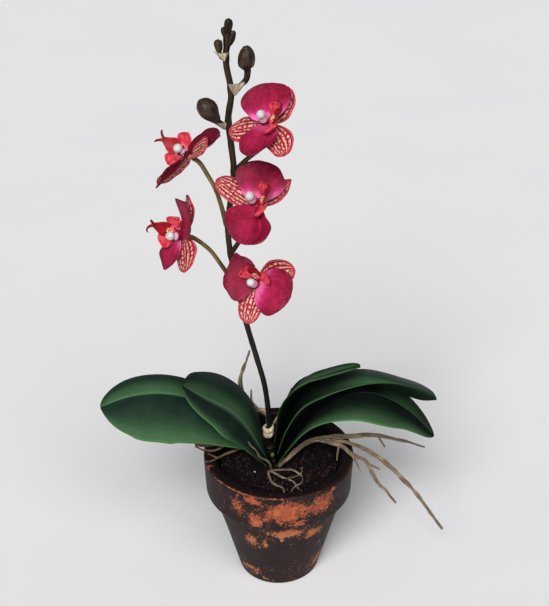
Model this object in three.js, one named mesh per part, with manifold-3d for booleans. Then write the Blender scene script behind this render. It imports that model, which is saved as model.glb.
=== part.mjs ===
// A miniature moth orchid growing in a small terracotta pot, in millimetres.
// The origin is where the pot's axis meets the floor, Z is up and the front of the plant faces -Y.

import * as THREE from 'three';
import { mergeVertices } from 'three/addons/utils/BufferGeometryUtils.js';
import Module from 'manifold-3d';

const wasm = await Module();
wasm.setup();

// Driving dimensions of the pot, the soil and the plant
const GAP = 0.35;
const POT = {
  rimRadius: 40,
  height: 75,
  baseRadius: 21.8,
  bandHeight: 21.7,
  neckRadius: 35.4,
  mouthRadius: 34.2,
  floorRadius: 18,
  floor: 5,
  drainRadius: 5,
  chamfer: 0.8,
  segments: 44,
};
const SOIL = { level: 66, bump: 0.7, edgeDrop: 1.5, segments: 36, rings: 7 };
const CROWN = { x: -5, y: 4.4, radius: 3, foot: 58, top: 76, sides: 12 };
const SPIKE_RADIUS = { foot: 1.6, tip: 1.25 };
const PEDICEL_RADIUS = 1.1;

const group = new THREE.Group();
const vec = (p) => new THREE.Vector3(p[0], p[1], p[2]);
const radians = THREE.MathUtils.degToRad;

// The value at u (0 to 1) of a few values spread evenly from 0 to 1, joined by straight lines.
function along(values, u) {
  const place = Math.min(Math.max(u, 0), 1) * (values.length - 1);
  const index = Math.min(Math.floor(place), values.length - 2);
  return THREE.MathUtils.lerp(values[index], values[index + 1], place - index);
}

// A smooth curve through a few points chosen by hand.
const curveThrough = (points) => new THREE.CatmullRomCurve3(points.map(vec), false, 'centripetal');

// Solids: a closed geometry as a manifold, and back
function solidOf(geometry) {
  const bare = new THREE.BufferGeometry();
  bare.setIndex(geometry.index);
  bare.setAttribute('position', geometry.getAttribute('position'));
  const merged = mergeVertices(bare, 1e-4);
  const mesh = new wasm.Mesh({
    numProp: 3,
    vertProperties: merged.attributes.position.array,
    triVerts: new Uint32Array(merged.index.array),
  });
  return new wasm.Manifold(mesh);
}

function geometryOf(solid) {
  const mesh = solid.getMesh();
  const geometry = new THREE.BufferGeometry();
  geometry.setAttribute('position', new THREE.BufferAttribute(mesh.vertProperties, 3));
  geometry.setIndex(new THREE.BufferAttribute(mesh.triVerts, 1));
  return geometry;
}

const fuse = (geometries) => geometryOf(geometries.map(solidOf).reduce((sum, next) => sum.add(next)));

// The largest body of a cut, without any loose scrap.
function largestBody(solid) {
  const bodies = solid.decompose();
  return bodies.reduce((best, next) => (next.volume() > best.volume() ? next : best));
}

function addNode(name, geometry, colour, roughness, parent = group) {
  const flat = geometry.index ? geometry.toNonIndexed() : geometry;
  flat.computeVertexNormals();
  const material = new THREE.MeshStandardMaterial({ color: colour, roughness, metalness: 0 });
  const mesh = new THREE.Mesh(flat, material);
  mesh.name = name;
  parent.add(mesh);
  return mesh;
}

// A thin closed blade round a mid-surface(u, v), u from foot to tip and v from -1 to 1 across.
// Both faces are split into triangles alike, so waves never make them cross.
function blade(surface, rows, columns, thicknessAt) {
  const rowPlace = (i) => 0.5 - 0.5 * Math.cos((Math.PI * i) / rows);
  const step = 1e-3;
  const positions = [];
  const width = columns + 1;
  for (const side of [1, -1]) {
    for (let i = 0; i <= rows; i++) {
      for (let j = 0; j <= columns; j++) {
        const u = THREE.MathUtils.clamp(rowPlace(i), step, 1 - step);
        const v = THREE.MathUtils.clamp((2 * j) / columns - 1, step - 1, 1 - step);
        const du = surface(u + step, v).sub(surface(u - step, v));
        const dv = surface(u, v + step).sub(surface(u, v - step));
        const normal = du.cross(dv).normalize();
        const point = surface(u, v).addScaledVector(normal, (side * thicknessAt(u, v)) / 2);
        positions.push(point.x, point.y, point.z);
      }
    }
  }
  const top = (i, j) => i * width + j;
  const under = (rows + 1) * width;
  const index = [];
  for (let i = 0; i < rows; i++) {
    for (let j = 0; j < columns; j++) {
      const [a, b, c, d] = [top(i, j), top(i + 1, j), top(i + 1, j + 1), top(i, j + 1)];
      index.push(a, b, c, a, c, d);
      index.push(under + a, under + c, under + b, under + a, under + d, under + c);
    }
  }
  const rim = [];
  for (let i = 0; i < rows; i++) rim.push(top(i, 0));
  for (let j = 0; j < columns; j++) rim.push(top(rows, j));
  for (let i = rows; i > 0; i--) rim.push(top(i, columns));
  for (let j = columns; j > 0; j--) rim.push(top(0, j));
  rim.forEach((p, k) => {
    const q = rim[(k + 1) % rim.length];
    index.push(q, p, under + p, q, under + p, under + q);
  });
  const geometry = new THREE.BufferGeometry();
  geometry.setAttribute('position', new THREE.Float32BufferAttribute(positions, 3));
  geometry.setIndex(index);
  return geometry;
}

// A round strand along a curve: a capped cylinder bent to it, with the radius at each place.
function strand(points, radiusAt, sides, steps) {
  const curve = curveThrough(points);
  const frames = curve.computeFrenetFrames(steps, false);
  const geometry = new THREE.CylinderGeometry(1, 1, 1, sides, steps);
  const position = geometry.getAttribute('position');
  for (let k = 0; k < position.count; k++) {
    const step = Math.round((position.getY(k) + 0.5) * steps);
    const radius = radiusAt(step / steps);
    const point = curve.getPointAt(step / steps);
    point.addScaledVector(frames.binormals[step], radius * position.getX(k));
    point.addScaledVector(frames.normals[step], radius * position.getZ(k));
    position.setXYZ(k, point.x, point.y, point.z);
  }
  geometry.deleteAttribute('normal');
  geometry.deleteAttribute('uv');
  return geometry;
}

// A turned solid round the Z axis, from [radius, height] pairs.
function turned(profile, segments) {
  const points = profile.map(([radius, height]) => new THREE.Vector2(radius, height));
  const geometry = new THREE.LatheGeometry(points, segments);
  geometry.rotateX(Math.PI / 2);
  return geometry;
}

// A ball with its centre at a place, stretched to a half-length along an axis.
function egg({ centre, axis, radius, half }, sides, rings) {
  const geometry = new THREE.SphereGeometry(1, sides, rings);
  geometry.rotateX(Math.PI / 2);
  geometry.scale(radius, radius, half);
  const upward = new THREE.Vector3(0, 0, 1);
  geometry.applyQuaternion(new THREE.Quaternion().setFromUnitVectors(upward, vec(axis).normalize()));
  geometry.translate(...centre);
  return geometry;
}

// Pot: a thick terracotta wall that widens to a tall rim band, with a drain hole in its floor
const bandFoot = POT.height - POT.bandHeight;
const mouthFoot = POT.height - POT.chamfer;
const innerRadius = (z) =>
  THREE.MathUtils.mapLinear(z, POT.floor, mouthFoot, POT.floorRadius, POT.mouthRadius);

function potGeometry() {
  const { rimRadius, height, baseRadius, neckRadius, mouthRadius, chamfer } = POT;
  const { floorRadius, floor, drainRadius } = POT;
  return turned(
    [
      [drainRadius, 0],
      [baseRadius - chamfer, 0],
      [baseRadius, chamfer],
      [neckRadius, bandFoot - chamfer],
      [rimRadius - 2 * chamfer, bandFoot],
      [rimRadius - chamfer / 2, bandFoot + chamfer],
      [rimRadius, height - 2 * chamfer],
      [rimRadius - chamfer / 2, height - chamfer / 2],
      [rimRadius - 2 * chamfer, height],
      [mouthRadius + chamfer, height],
      [mouthRadius, mouthFoot],
      [floorRadius, floor],
      [drainRadius, floor],
      [drainRadius, 0],
    ],
    POT.segments,
  );
}

// Soil: it fills the pot to just under the rim, with a crumbly top and a plain hole for the crown
const soilTop = (x, y) =>
  SOIL.level +
  SOIL.bump * (Math.sin(0.37 * x + 1.3) * Math.cos(0.31 * y - 0.4) + 0.5 * Math.sin(0.83 * x - 0.71 * y));

function soilGeometry() {
  const foot = POT.floor + GAP;
  const brim = SOIL.level - SOIL.edgeDrop;
  const edge = innerRadius(brim) - GAP;
  const profile = [[0, foot], [innerRadius(foot) - GAP, foot], [edge, brim]];
  for (let k = 1; k <= SOIL.rings; k++) profile.push([edge * (1 - k / SOIL.rings), SOIL.level]);
  const geometry = turned(profile, SOIL.segments);
  const position = geometry.getAttribute('position');
  for (let k = 0; k < position.count; k++) {
    if (position.getZ(k) > brim + GAP) position.setZ(k, soilTop(position.getX(k), position.getY(k)));
  }
  const holeFoot = CROWN.foot - GAP;
  const hole = turned(
    [[0, holeFoot], [CROWN.radius + GAP, holeFoot], [CROWN.radius + GAP, CROWN.top], [0, CROWN.top]],
    CROWN.sides,
  );
  hole.translate(CROWN.x, CROWN.y, 0);
  return geometryOf(solidOf(geometry).subtract(solidOf(hole)));
}

// Crown: the short stem that leaves, spike and roots grow from, with a green nub at its front
// and a swelling under the foot of the front leaves
const NUBS = [
  { centre: [-3.4, 2, 73.4], axis: [0.2, -0.6, 1], radius: 1.3, half: 2.6 },
  { centre: [-3.2, -0.4, 69.2], axis: [0.3, -1, 0.1], radius: 1.6, half: 3 },
];

function crownGeometry() {
  const { x, y, radius, foot, top, sides } = CROWN;
  const shoulder = radius - 1;
  const profile = [
    [0, foot], [shoulder, foot], [radius, foot + 3], [radius, top - 1], [shoulder, top], [0, top],
  ];
  const stem = turned(profile, sides);
  stem.translate(x, y, 0);
  return fuse([stem, ...NUBS.map((nub) => egg(nub, 8, 6))]);
}

// Leaves: each has a midrib through a few points, a half-width, a roll toward the front in degrees,
// and a cross-section that rises from the midrib (channel) and falls toward its edges (arch).
const LEAVES = [
  {
    name: 'leaf_left_long',
    midrib: [
      [-9.7, 2.6, 69.5], [-22, 3, 85], [-34, 4, 97], [-47, 5, 105],
      [-59, 5, 108], [-70, 4, 108.3], [-81, 3, 106.8], [-92.6, 0, 103],
    ],
    halfWidth: 21.5,
    neck: 0.14,
    widest: 0.62,
    roll: [0, 18, 22, 22, 16],
    channel: [1.2, 0.4, 0.3, 0.3, 0.2],
    arch: [0.5, 0.75, 0.8, 0.7, 0.5],
  },
  {
    name: 'leaf_left_short',
    midrib: [
      [-5.8, -3.4, 69], [-10.3, -3.8, 80.5], [-17.8, -3.4, 96], [-25.4, -2, 104.5],
      [-37, 0, 110.4], [-46, 2, 113.8], [-49.9, 2, 115.5],
    ],
    halfWidth: 16.5,
    neck: 0.16,
    widest: 0.62,
    roll: [10, 37, 38, 32, 22],
    channel: [0.1, 0.1, 0.25, 0.3, 0.3],
    arch: [0.3, 0.5, 0.42, 0.4, 0.4],
  },
  {
    name: 'leaf_right_front',
    midrib: [
      [-0.4, -3.4, 69], [8.4, -5.5, 86], [18.5, -6.5, 101.5], [30, -7, 112.5], [40, -7, 117],
      [48, -6.5, 116.8], [56, -7, 113], [65.4, -7, 107.2], [72, -8, 100.2], [80, -10, 92.1],
    ],
    halfWidth: 16.5,
    neck: 0.18,
    widest: 0.55,
    roll: [0, -4, 2, 12, 12],
    channel: [0.7, 0.5, 0.25, 0.15, 0.1],
    arch: [0.3, 0.3, 0.35, 0.4, 0.35],
  },
  {
    name: 'leaf_right_long',
    midrib: [
      [0.6, 3.8, 70], [5.4, 2.5, 88], [13, 1.5, 103], [24.5, 0.5, 113.5], [37, 0, 119.5],
      [47, 0, 120.2], [56, 0, 116.2], [65, 0, 111.5], [75, 0, 108.6], [81.7, 0, 109],
    ],
    halfWidth: 13.5,
    neck: 0.26,
    widest: 0.42,
    roll: [0, -7, -17, -21, -18],
    channel: [0.8, 0.45, 0.4, 0.85, 1.3],
    arch: [0.2, 0.1, 0.1, 0.15, 0.1],
  },
  {
    name: 'leaf_right_back',
    midrib: [
      [-1.8, 10.2, 74], [1.4, 9.2, 90], [5.2, 8, 103], [10.5, 7.2, 111],
      [17, 6.8, 116], [25, 6.6, 119], [33.5, 6.5, 121.4], [42, 5.8, 124],
    ],
    halfWidth: 11.5,
    neck: 0.22,
    widest: 0.55,
    roll: [0, -16, -22, -22, -18],
    channel: [0.5, 0.4, 0.35, 0.3, 0.3],
    arch: [0.2, 0.1, 0.1, 0.15, 0.15],
  },
];
const LEAF = {
  rows: 12, columns: 6, ribThickness: 1.5, edgeThickness: 0.8, bluntness: 0.06, ribSoftness: 0.02,
};

// The half-width at u of an oval leaf that narrows to a neck at its foot and rounds off at its tip.
function leafWidth(leaf, u) {
  if (u < leaf.widest) {
    const rise = Math.sin((Math.PI / 2) * (u / leaf.widest));
    return leaf.halfWidth * (leaf.neck + (1 - leaf.neck) * rise ** 1.3);
  }
  const past = (u - leaf.widest) / (1 - leaf.widest);
  return leaf.halfWidth * Math.max(Math.sqrt(1 - past * past), LEAF.bluntness);
}

function leafGeometry(leaf) {
  const curve = curveThrough(leaf.midrib);
  const surface = (u, v) => {
    const tangent = curve.getTangentAt(u);
    const near = new THREE.Vector3(0, -1, 0);
    near.addScaledVector(tangent, -near.dot(tangent)).normalize();
    const up = new THREE.Vector3().crossVectors(tangent, near);
    if (up.z < 0 || (Math.abs(up.z) < 0.3 && up.x * tangent.x > 0)) up.negate();
    const roll = radians(along(leaf.roll, u));
    const across = near.clone().multiplyScalar(Math.cos(roll));
    across.addScaledVector(up, -Math.sin(roll));
    const rise = up.clone().multiplyScalar(Math.cos(roll)).addScaledVector(near, Math.sin(roll));
    const half = leafWidth(leaf, u);
    const soft = Math.sqrt(v * v + LEAF.ribSoftness) - Math.sqrt(LEAF.ribSoftness);
    const lift = along(leaf.channel, u) * soft - along(leaf.arch, u) * v * v;
    const narrowed = v / Math.sqrt(1 + 0.4 * lift * lift);
    const point = curve.getPointAt(u).addScaledVector(across, half * narrowed);
    return point.addScaledVector(rise, half * lift);
  };
  const thickness = (u, v) => THREE.MathUtils.lerp(LEAF.ribThickness, LEAF.edgeThickness, Math.abs(v));
  return blade(surface, LEAF.rows, LEAF.columns, thickness);
}

// Flower spike: the stem, its small tip buds and the pedicels that carry blooms and buds
const STEM = [
  [-5.7, 4, CROWN.top + GAP], [-6, 3.5, 90], [-8.7, 2.5, 114], [-12, 1.5, 133], [-15, 0.5, 148],
  [-19, 0, 168], [-22, 0, 185], [-24.2, 0, 205], [-22.3, 0, 225], [-20.8, 0, 237], [-21.9, 0, 251],
  [-22.3, 0, 262], [-20.4, 0, 275], [-22.6, 0, 289], [-22.6, 0, 297], [-22, 0, 305],
];

// Blooms: where each sits, the way it faces, the way its dorsal sepal points, its size, and the
// angle (counterclockwise from its right-hand side) and forward tilt of each sepal and petal in
// degrees, with the share of the usual width and length that it has.
const BLOOMS = [
  {
    name: 'bloom_top',
    centre: [-5.4, -14, 265.9],
    face: [-0.32, -0.5, 0.81],
    dorsal: [-0.93, 0.32, -0.17],
    size: 1.09,
    sepals: [[94, -5, 1, 1], [-24, 0, 0.8, 1], [-145, -4, 1, 1]],
    petals: [[9, 6, 1, 1], [162, 7, 0.72, 1]],
    lipTurn: 22,
    lean: 2,
    pedicel: [[-20.8, 0, 236.5], [-15, -2, 243.5], [-6, -6.5, 253]],
  },
  {
    name: 'bloom_middle',
    centre: [-10.5, -15.5, 227.8],
    face: [-0.08, -0.59, 0.8],
    dorsal: [-0.99, 0.15, 0.01],
    size: 1.18,
    sepals: [[51, 5, 1, 1], [-40, -2, 0.7, 1], [-160, -8, 0.9, 0.85]],
    petals: [[0, 6, 0.98, 1], [178, 5, 0.88, 1.1]],
    lipTurn: 0,
    lean: 12,
    pedicel: [[-23.3, 0, 193.5], [-18.5, -2, 202], [-12, -6, 213]],
  },
  {
    name: 'bloom_low',
    centre: [-10.6, -14, 184.7],
    face: [-0.34, -0.68, 0.65],
    dorsal: [-0.31, -0.57, -0.76],
    size: 1.1,
    sepals: [[92, -4, 1, 1], [-20, -6, 0.9, 0.85], [-132, -4, 1, 1]],
    petals: [[-3, 4, 0.95, 0.88], [180, 6, 0.97, 1]],
    lipTurn: 0,
    lean: 6,
    pedicel: [[-17.8, 0, 161], [-10, -3, 168], [-6, -7, 176]],
  },
  {
    name: 'bloom_left_top',
    centre: [-41.5, -6, 247.8],
    face: [-0.82, 0.03, 0.58],
    dorsal: [0.2, -0.92, 0.33],
    size: 1.15,
    sepals: [[104, -6, 1, 0.92], [-31, 10, 0.9, 0.9], [-146, -24, 1, 1]],
    petals: [[14, 15, 1, 1], [152, -10, 1, 0.93]],
    lipTurn: 0,
    lean: 10,
    pedicel: [[-24.6, 0, 208], [-27.1, -2, 220.6], [-29.6, -3.5, 229.9], [-32.6, -5, 237]],
  },
  {
    name: 'bloom_left_low',
    centre: [-46.2, -6, 206.4],
    face: [-0.78, -0.51, 0.37],
    dorsal: [0.45, -0.86, -0.25],
    size: 1.17,
    sepals: [[70, 2, 0.9, 1], [-35, -4, 0.9, 0.9], [-142, -4, 0.8, 1]],
    petals: [[0, 6, 0.66, 0.88], [174, 16, 0.78, 0.95]],
    lipTurn: 0,
    lean: 6,
    pedicel: [[-21.2, 0, 176], [-27.2, -2, 187.7], [-33.5, -3, 198]],
  },
];
const SEPAL = {
  length: 16.5, halfWidth: 5.8, cup: -0.1, wave: 0, rows: 5, columns: 4, thickness: 0.7, layer: -1,
};
const PETAL = {
  length: 16, halfWidth: 10.6, cup: 0.05, wave: 0.5, rows: 6, columns: 4, thickness: 0.7, layer: 0.4,
};
const CLAW = { start: 0.8, halfWidth: 1.1 };
const HUB = { radius: 2.3, half: 0.55, sides: 8 };
const LIP_FOOT = PETAL.layer + HUB.half + GAP;
const CAP = { radius: 2, distance: 6.5 };

// One sepal or petal of a bloom in the bloom's frame: X to its right, Y to its dorsal side, Z forward.
function tepal(kind, [angle, tilt, breadth, extent]) {
  const direction = new THREE.Vector3(Math.cos(radians(angle)), Math.sin(radians(angle)), 0);
  const side = new THREE.Vector3(-direction.y, direction.x, 0);
  const surface = (u, v) => {
    const reach = CLAW.start + kind.length * extent * u;
    const swell = Math.sqrt(Math.max(1 - (2 * u - 1) ** 2, 0));
    const half = Math.max(kind.halfWidth * breadth * swell ** 0.9, CLAW.halfWidth * (1 - 0.5 * u));
    const ripple = kind.wave * Math.sin(7 * u + 2.6 * v) * u * v * v;
    const lift = kind.layer + reach * Math.sin(radians(tilt)) + kind.cup * v * v * half + ripple;
    const point = direction.clone().multiplyScalar(reach * Math.cos(radians(tilt)));
    point.addScaledVector(side, half * v);
    return point.setZ(lift);
  };
  return blade(surface, kind.rows, kind.columns, () => kind.thickness);
}

// The small disc that joins the feet of the sepals, or of the petals, in one body.
function hub(layer) {
  const geometry = new THREE.CylinderGeometry(HUB.radius, HUB.radius, 2 * HUB.half, HUB.sides);
  geometry.rotateX(Math.PI / 2);
  geometry.translate(0, 0, layer);
  return geometry;
}

// The lip: a claw, an arrow-shaped middle lobe with two curled tendrils, and two upright side lobes.
// Side lobes and tendrils are stated for the right-hand side, and mirrored for the left.
const LIP = {
  middle: {
    path: [[0, -1.5, LIP_FOOT], [0, -3.6, 3.6], [0, -5, 7], [0, -5.8, 11.4]],
    halfWidths: [0.9, 1.3, 1.7, 3.1, 2.2, 0.7],
    cup: 0.35,
    thickness: 0.9,
  },
  lobe: {
    path: [[0.3, -2.9, 3.2], [3, -3.9, 4.6], [5, -2.4, 5.4], [5.9, -0.3, 5]],
    halfWidths: [1.1, 1.9, 2.9, 2.7, 1.2],
    ruffle: 0.35,
    flare: 0.25,
    thickness: 0.75,
  },
  tendril: {
    path: [[0.2, -5.7, 10.9], [1.4, -5.6, 12], [2.7, -4.2, 12.8], [2.9, -2.4, 12.2], [1.9, -1.7, 11.5]],
    radii: [0.5, 0.35],
  },
};

// The whole lip turns down from the column by some degrees about its foot.
function lipGeometry(turn) {
  const { middle, lobe, tendril } = LIP;
  const spine = curveThrough(middle.path);
  const middleSurface = (u, v) => {
    const half = along(middle.halfWidths, u);
    return spine.getPointAt(u).add(new THREE.Vector3(half * v, middle.cup * half * v * v, 0));
  };
  const parts = [blade(middleSurface, 5, 2, () => middle.thickness)];
  for (const side of [1, -1]) {
    const mirrored = (path) => path.map(([x, y, z]) => [side * x, y, z]);
    const lobeCurve = curveThrough(mirrored(lobe.path));
    const lobeSurface = (u, v) => {
      const half = along(lobe.halfWidths, u);
      const ruffle = lobe.ruffle * Math.sin(5 * u + 3 * v) * u;
      return lobeCurve.getPointAt(u).add(new THREE.Vector3(lobe.flare * half * v * side, ruffle, half * v));
    };
    parts.push(blade(lobeSurface, 3, 3, () => lobe.thickness));
    parts.push(strand(mirrored(tendril.path), (u) => along(tendril.radii, u), 4, 4));
  }
  const lip = fuse(parts);
  const sine = Math.sin(radians(turn));
  lip.translate(0, 0, -LIP_FOOT);
  lip.rotateX(radians(turn));
  lip.translate(0, 0, LIP_FOOT + 1.6 * sine);
  return lip;
}

// The column leans from the face toward the dorsal side by some degrees, and the cap tops it.
const leanOf = (degrees) => [0, Math.sin(radians(degrees)), Math.cos(radians(degrees))];

function columnGeometry(lean) {
  const [, sway, rise] = leanOf(lean);
  const end = CAP.distance - CAP.radius - GAP;
  const path = [[0, 0.7, LIP_FOOT], [0, 0.5 + 2.6 * sway, 2.6 * rise], [0, end * sway, end * rise]];
  return strand(path, (u) => 1.35 + 0.25 * u, 8, 2);
}

function capGeometry(lean) {
  const axis = leanOf(lean);
  const centre = axis.map((part) => part * CAP.distance);
  return egg({ centre, axis, radius: CAP.radius, half: CAP.radius }, 10, 6);
}

function addBloom(bloom) {
  const face = vec(bloom.face).normalize();
  const dorsal = vec(bloom.dorsal);
  dorsal.addScaledVector(face, -dorsal.dot(face)).normalize();
  const right = new THREE.Vector3().crossVectors(dorsal, face);
  const whole = new THREE.Group();
  whole.position.copy(vec(bloom.centre));
  whole.quaternion.setFromRotationMatrix(new THREE.Matrix4().makeBasis(right, dorsal, face));
  whole.scale.setScalar(bloom.size);
  group.add(whole);
  const sepals = bloom.sepals.map((sepal) => tepal(SEPAL, sepal));
  const petals = bloom.petals.map((petal) => tepal(PETAL, petal));
  addNode(bloom.name + '_sepals', fuse([hub(SEPAL.layer), ...sepals]), 0xd0413f, 0.5, whole);
  addNode(bloom.name + '_petals', fuse([hub(PETAL.layer), ...petals]), 0xa8174f, 0.5, whole);
  addNode(bloom.name + '_lip', lipGeometry(bloom.lipTurn), 0xcc2a2e, 0.45, whole);
  addNode(bloom.name + '_column', columnGeometry(bloom.lean), 0xd88bb0, 0.5, whole);
  addNode(bloom.name + '_cap', capGeometry(bloom.lean), 0xe6e4e4, 0.5, whole);
}

// The pedicel of a bloom ends square behind its sepals.
function pedicelPath(bloom) {
  const behind = (distance) =>
    vec(bloom.centre).addScaledVector(vec(bloom.face).normalize(), -distance).toArray();
  const seat = (-SEPAL.layer + HUB.half) * bloom.size + GAP;
  return [...bloom.pedicel, behind(seat + 4.5), behind(seat)];
}

// Buds: a closed egg on a short stalk
const BUDS = [
  {
    name: 'bud_large',
    centre: [-31.3, -1, 266.8],
    axis: [-0.75, 0, 1],
    radius: 4.2,
    half: 6.2,
    stalk: [[-22.3, 0, 259.5], [-25, -0.4, 260.2], [-27.2, -0.9, 261.5]],
  },
  {
    name: 'bud_right',
    centre: [-14, -2, 290.6],
    axis: [0.05, 0, 1],
    radius: 3.5,
    half: 5.1,
    stalk: [[-20.3, 0, 276.2], [-17.4, -1, 277.6], [-14.6, -1.6, 280], [-14, -2, 285]],
  },
  {
    name: 'bud_small',
    centre: [-26.8, -1, 297.5],
    axis: [-0.2, 0, 1],
    radius: 1.75,
    half: 2.3,
    stalk: [[-22.6, 0, 291.4], [-25.3, -0.6, 292.4], [-26.3, -0.9, 294.7]],
  },
];
const TIP_BUDS = [
  { centre: [-21.9, -0.4, 306.8], axis: [0, 0, 1], radius: 1.75, half: 2.1 },
  { centre: [-23.8, -0.5, 304.6], axis: [0, 0, 1], radius: 1.15, half: 1.4 },
  { centre: [-19.6, -0.4, 302], axis: [0, 0, 1], radius: 1.4, half: 1.7 },
];
const TIP_STALK = { path: [[-22.2, 0, 299], [-20.6, -0.2, 300.4], [-19.6, -0.4, 302]], radius: 0.9 };

// Bracts: a cream cup at the foot of each bud's stalk
const BRACTS = [
  { name: 'bract_low', centre: [-25, -0.8, 259], axis: [-1, -0.2, 0.3], radius: 2.1, half: 3.1 },
  { name: 'bract_middle', centre: [-18.3, -0.7, 276.6], axis: [1, -0.2, 0.7], radius: 2, half: 4 },
  { name: 'bract_high', centre: [-24.4, -0.5, 291.6], axis: [-1, -0.2, 0.45], radius: 2, half: 3.2 },
];

// The stem, the pedicels and the stalks, each thicker and longer at its end by an extra clearance.
function spikeStrands(extra) {
  const taper = (u) => along([SPIKE_RADIUS.foot, SPIKE_RADIUS.tip], u) + extra;
  const pedicel = () => PEDICEL_RADIUS + extra;
  const strands = [strand(STEM, taper, 8, 26)];
  for (const bloom of BLOOMS) strands.push(strand(pedicelPath(bloom), pedicel, 6, 7));
  for (const bud of BUDS) {
    const [end, before] = [vec(bud.stalk.at(-1)), vec(bud.stalk.at(-2))];
    const tip = end.clone().addScaledVector(end.clone().sub(before).normalize(), extra);
    strands.push(strand([...bud.stalk.slice(0, -1), tip.toArray()], pedicel, 6, 4));
  }
  return strands;
}

function spikeGeometry() {
  const parts = spikeStrands(0);
  for (const bud of TIP_BUDS) parts.push(egg(bud, 8, 5));
  parts.push(strand(TIP_STALK.path, () => TIP_STALK.radius, 6, 2));
  return fuse(parts);
}

// A bud or a bract stands just clear of the spike and its stalks.
const cutClear = (piece, clearance) => geometryOf(largestBody(solidOf(piece).subtract(clearance)));

// Sheath: the old dry ring round the foot of the spike
const SHEATH = { x: -6, y: 3.6, foot: 84.6, inner: SPIKE_RADIUS.foot + GAP + 0.1, sides: 14 };

function sheathGeometry() {
  const { x, y, foot, inner, sides } = SHEATH;
  const profile = [
    [inner, 0], [2.9, 0.2], [3.2, 1.4], [2.8, 2.4], [3, 3.6], [2.7, 4.8], [inner, 5], [inner, 0],
  ];
  const ring = turned(profile, sides);
  ring.translate(x, y, foot);
  return ring;
}

// Roots: thin aerial strands, those of one bunch joined in one body
const ROOT = { sides: 5, rise: 1.45 };
const onSoil = (points) => points.map(([x, y]) => [x, y, soilTop(x, y) + ROOT.rise]);
const ROOTS = {
  roots_right: [
    {
      radii: [1.7, 1.5, 1.3, 0.6],
      path: [
        [2.4, -4.9, 69], [7, -3.7, 74.4], [12.2, 0, 78.4], [17.5, 2, 79.6], [24.6, 3, 81],
        [36.3, 4, 81.4], [51.3, 3, 82.8], [61.9, 2, 81.1], [70.7, 0, 80], [77.6, -2, 78.8],
      ],
    },
    {
      radii: [1.2, 1.3, 1.2, 0.9],
      path: [
        [24.6, 2.4, 80.4], [32.6, 2, 79.8], [44.2, 0, 76.9], [51.4, -1, 72.7], [60.6, -2, 64.7],
        [69.1, -3, 55.3], [76.8, -4, 45.7], [84.6, -5, 33.3], [90.2, -6, 25.2],
      ],
    },
    {
      radii: [1.1, 1.1, 0.9, 0.7],
      path: [
        [22, 1.6, 80.2], [32.4, -2, 80.2], [39, -9, 78.9], [46.2, -11, 76.1],
        [48.9, -13, 71], [52.4, -14, 64.3], [57.9, -15, 58.3], [62.2, -16, 52.3],
      ],
    },
    { radii: [0.7, 0.5], path: [[31.8, -1.6, 80], [31.4, -3, 76], [31, -4, 71.2]] },
    { radii: [0.7, 0.5], path: [[38.6, -8.8, 78.6], [41.4, -11, 74], [43.4, -12, 69.4]] },
    { radii: [0.7, 0.5], path: [[46.2, -11, 75.8], [49, -12, 74.6], [53.2, -13, 72.4]] },
    { radii: [0.7, 0.5], path: [[52.9, 2.8, 82.4], [54.6, 1.4, 80], [56.6, 0, 77]] },
  ],
  roots_front: [
    {
      radii: [0.9, 0.8, 0.6],
      path: onSoil([
        [-4.2, -7.6], [-5.6, -10], [-4.6, -15.3], [-1.1, -20.7], [1.5, -21.2], [2.7, -24.2], [2.3, -27.5],
      ]),
    },
    {
      radii: [0.8, 0.9, 0.6],
      path: onSoil([[-4.4, -8], [-1, -9.8], [3.3, -13.2], [7.5, -16.1], [10, -20.7], [12, -24.6]]),
    },
    {
      radii: [0.8, 0.7, 0.5],
      path: onSoil([
        [-3.6, -7.4], [3.3, -6.6], [8.6, -9], [12.1, -11.6], [12, -16.7], [7.4, -22.6], [6.2, -26.4],
      ]),
    },
    { radii: [0.6, 0.5], path: onSoil([[12.1, -5], [12.1, -9.4], [9, -12.5], [4.8, -13.9]]) },
    { radii: [0.9, 0.5], path: [[-4, -7.6, 68], [-4.6, -9.6, 73.6], [-11, -13, 83], [-15.9, -15, 92.3]] },
  ],
  roots_left: [
    {
      radii: [1.2, 1.1, 0.9],
      path: [
        [-8.4, -4.2, 67.7], [-12, -5.2, 68.6], [-17, -6.7, 72], [-25, -7.4, 76.3],
        [-34, -7.4, 80.2], [-44, -7, 84.4],
      ],
    },
    {
      radii: [0.9, 0.8, 0.6],
      path: [[-17, -6.6, 72], [-22, -9.5, 74.4], [-29, -10.5, 77.4], [-36, -9.6, 80.4]],
    },
    {
      radii: [0.8, 0.7, 0.5],
      path: [[-25, -7.4, 76.3], [-31, -8.8, 76.8], [-38.4, -8.6, 79.6], [-43.4, -9.6, 85]],
    },
  ],
  roots_back: [
    {
      radii: [1.6, 1.5, 1.3],
      path: [[-6.4, 9.9, 67.2], [-5, 13.4, 79], [-6.4, 15.6, 87.4], [-10.4, 17, 89.4], [-15, 19.6, 87]],
    },
    {
      radii: [1.3, 1.2, 0.5],
      path: [
        [-13.6, 18.8, 88], [-18, 21.6, 92.4], [-20.2, 22, 99],
        [-20.5, 22, 107], [-18.2, 22, 115.1], [-15.4, 22, 124.4],
      ],
    },
    { radii: [1, 0.9, 0.4], path: [[-5, 13, 79], [0.6, 19.4, 85], [5.6, 23, 91.6], [6.8, 24, 98.9]] },
    { radii: [0.9, 0.8, 0.4], path: [[-11, 17.2, 89.2], [-14.6, 21.4, 92.4], [-15, 22.6, 98.9]] },
  ],
};

function rootGeometry(strands) {
  const bent = ({ radii, path }) =>
    strand(path, (u) => along(radii, u), ROOT.sides, Math.round(path.length * 1.4));
  return fuse(strands.map(bent));
}

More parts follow.
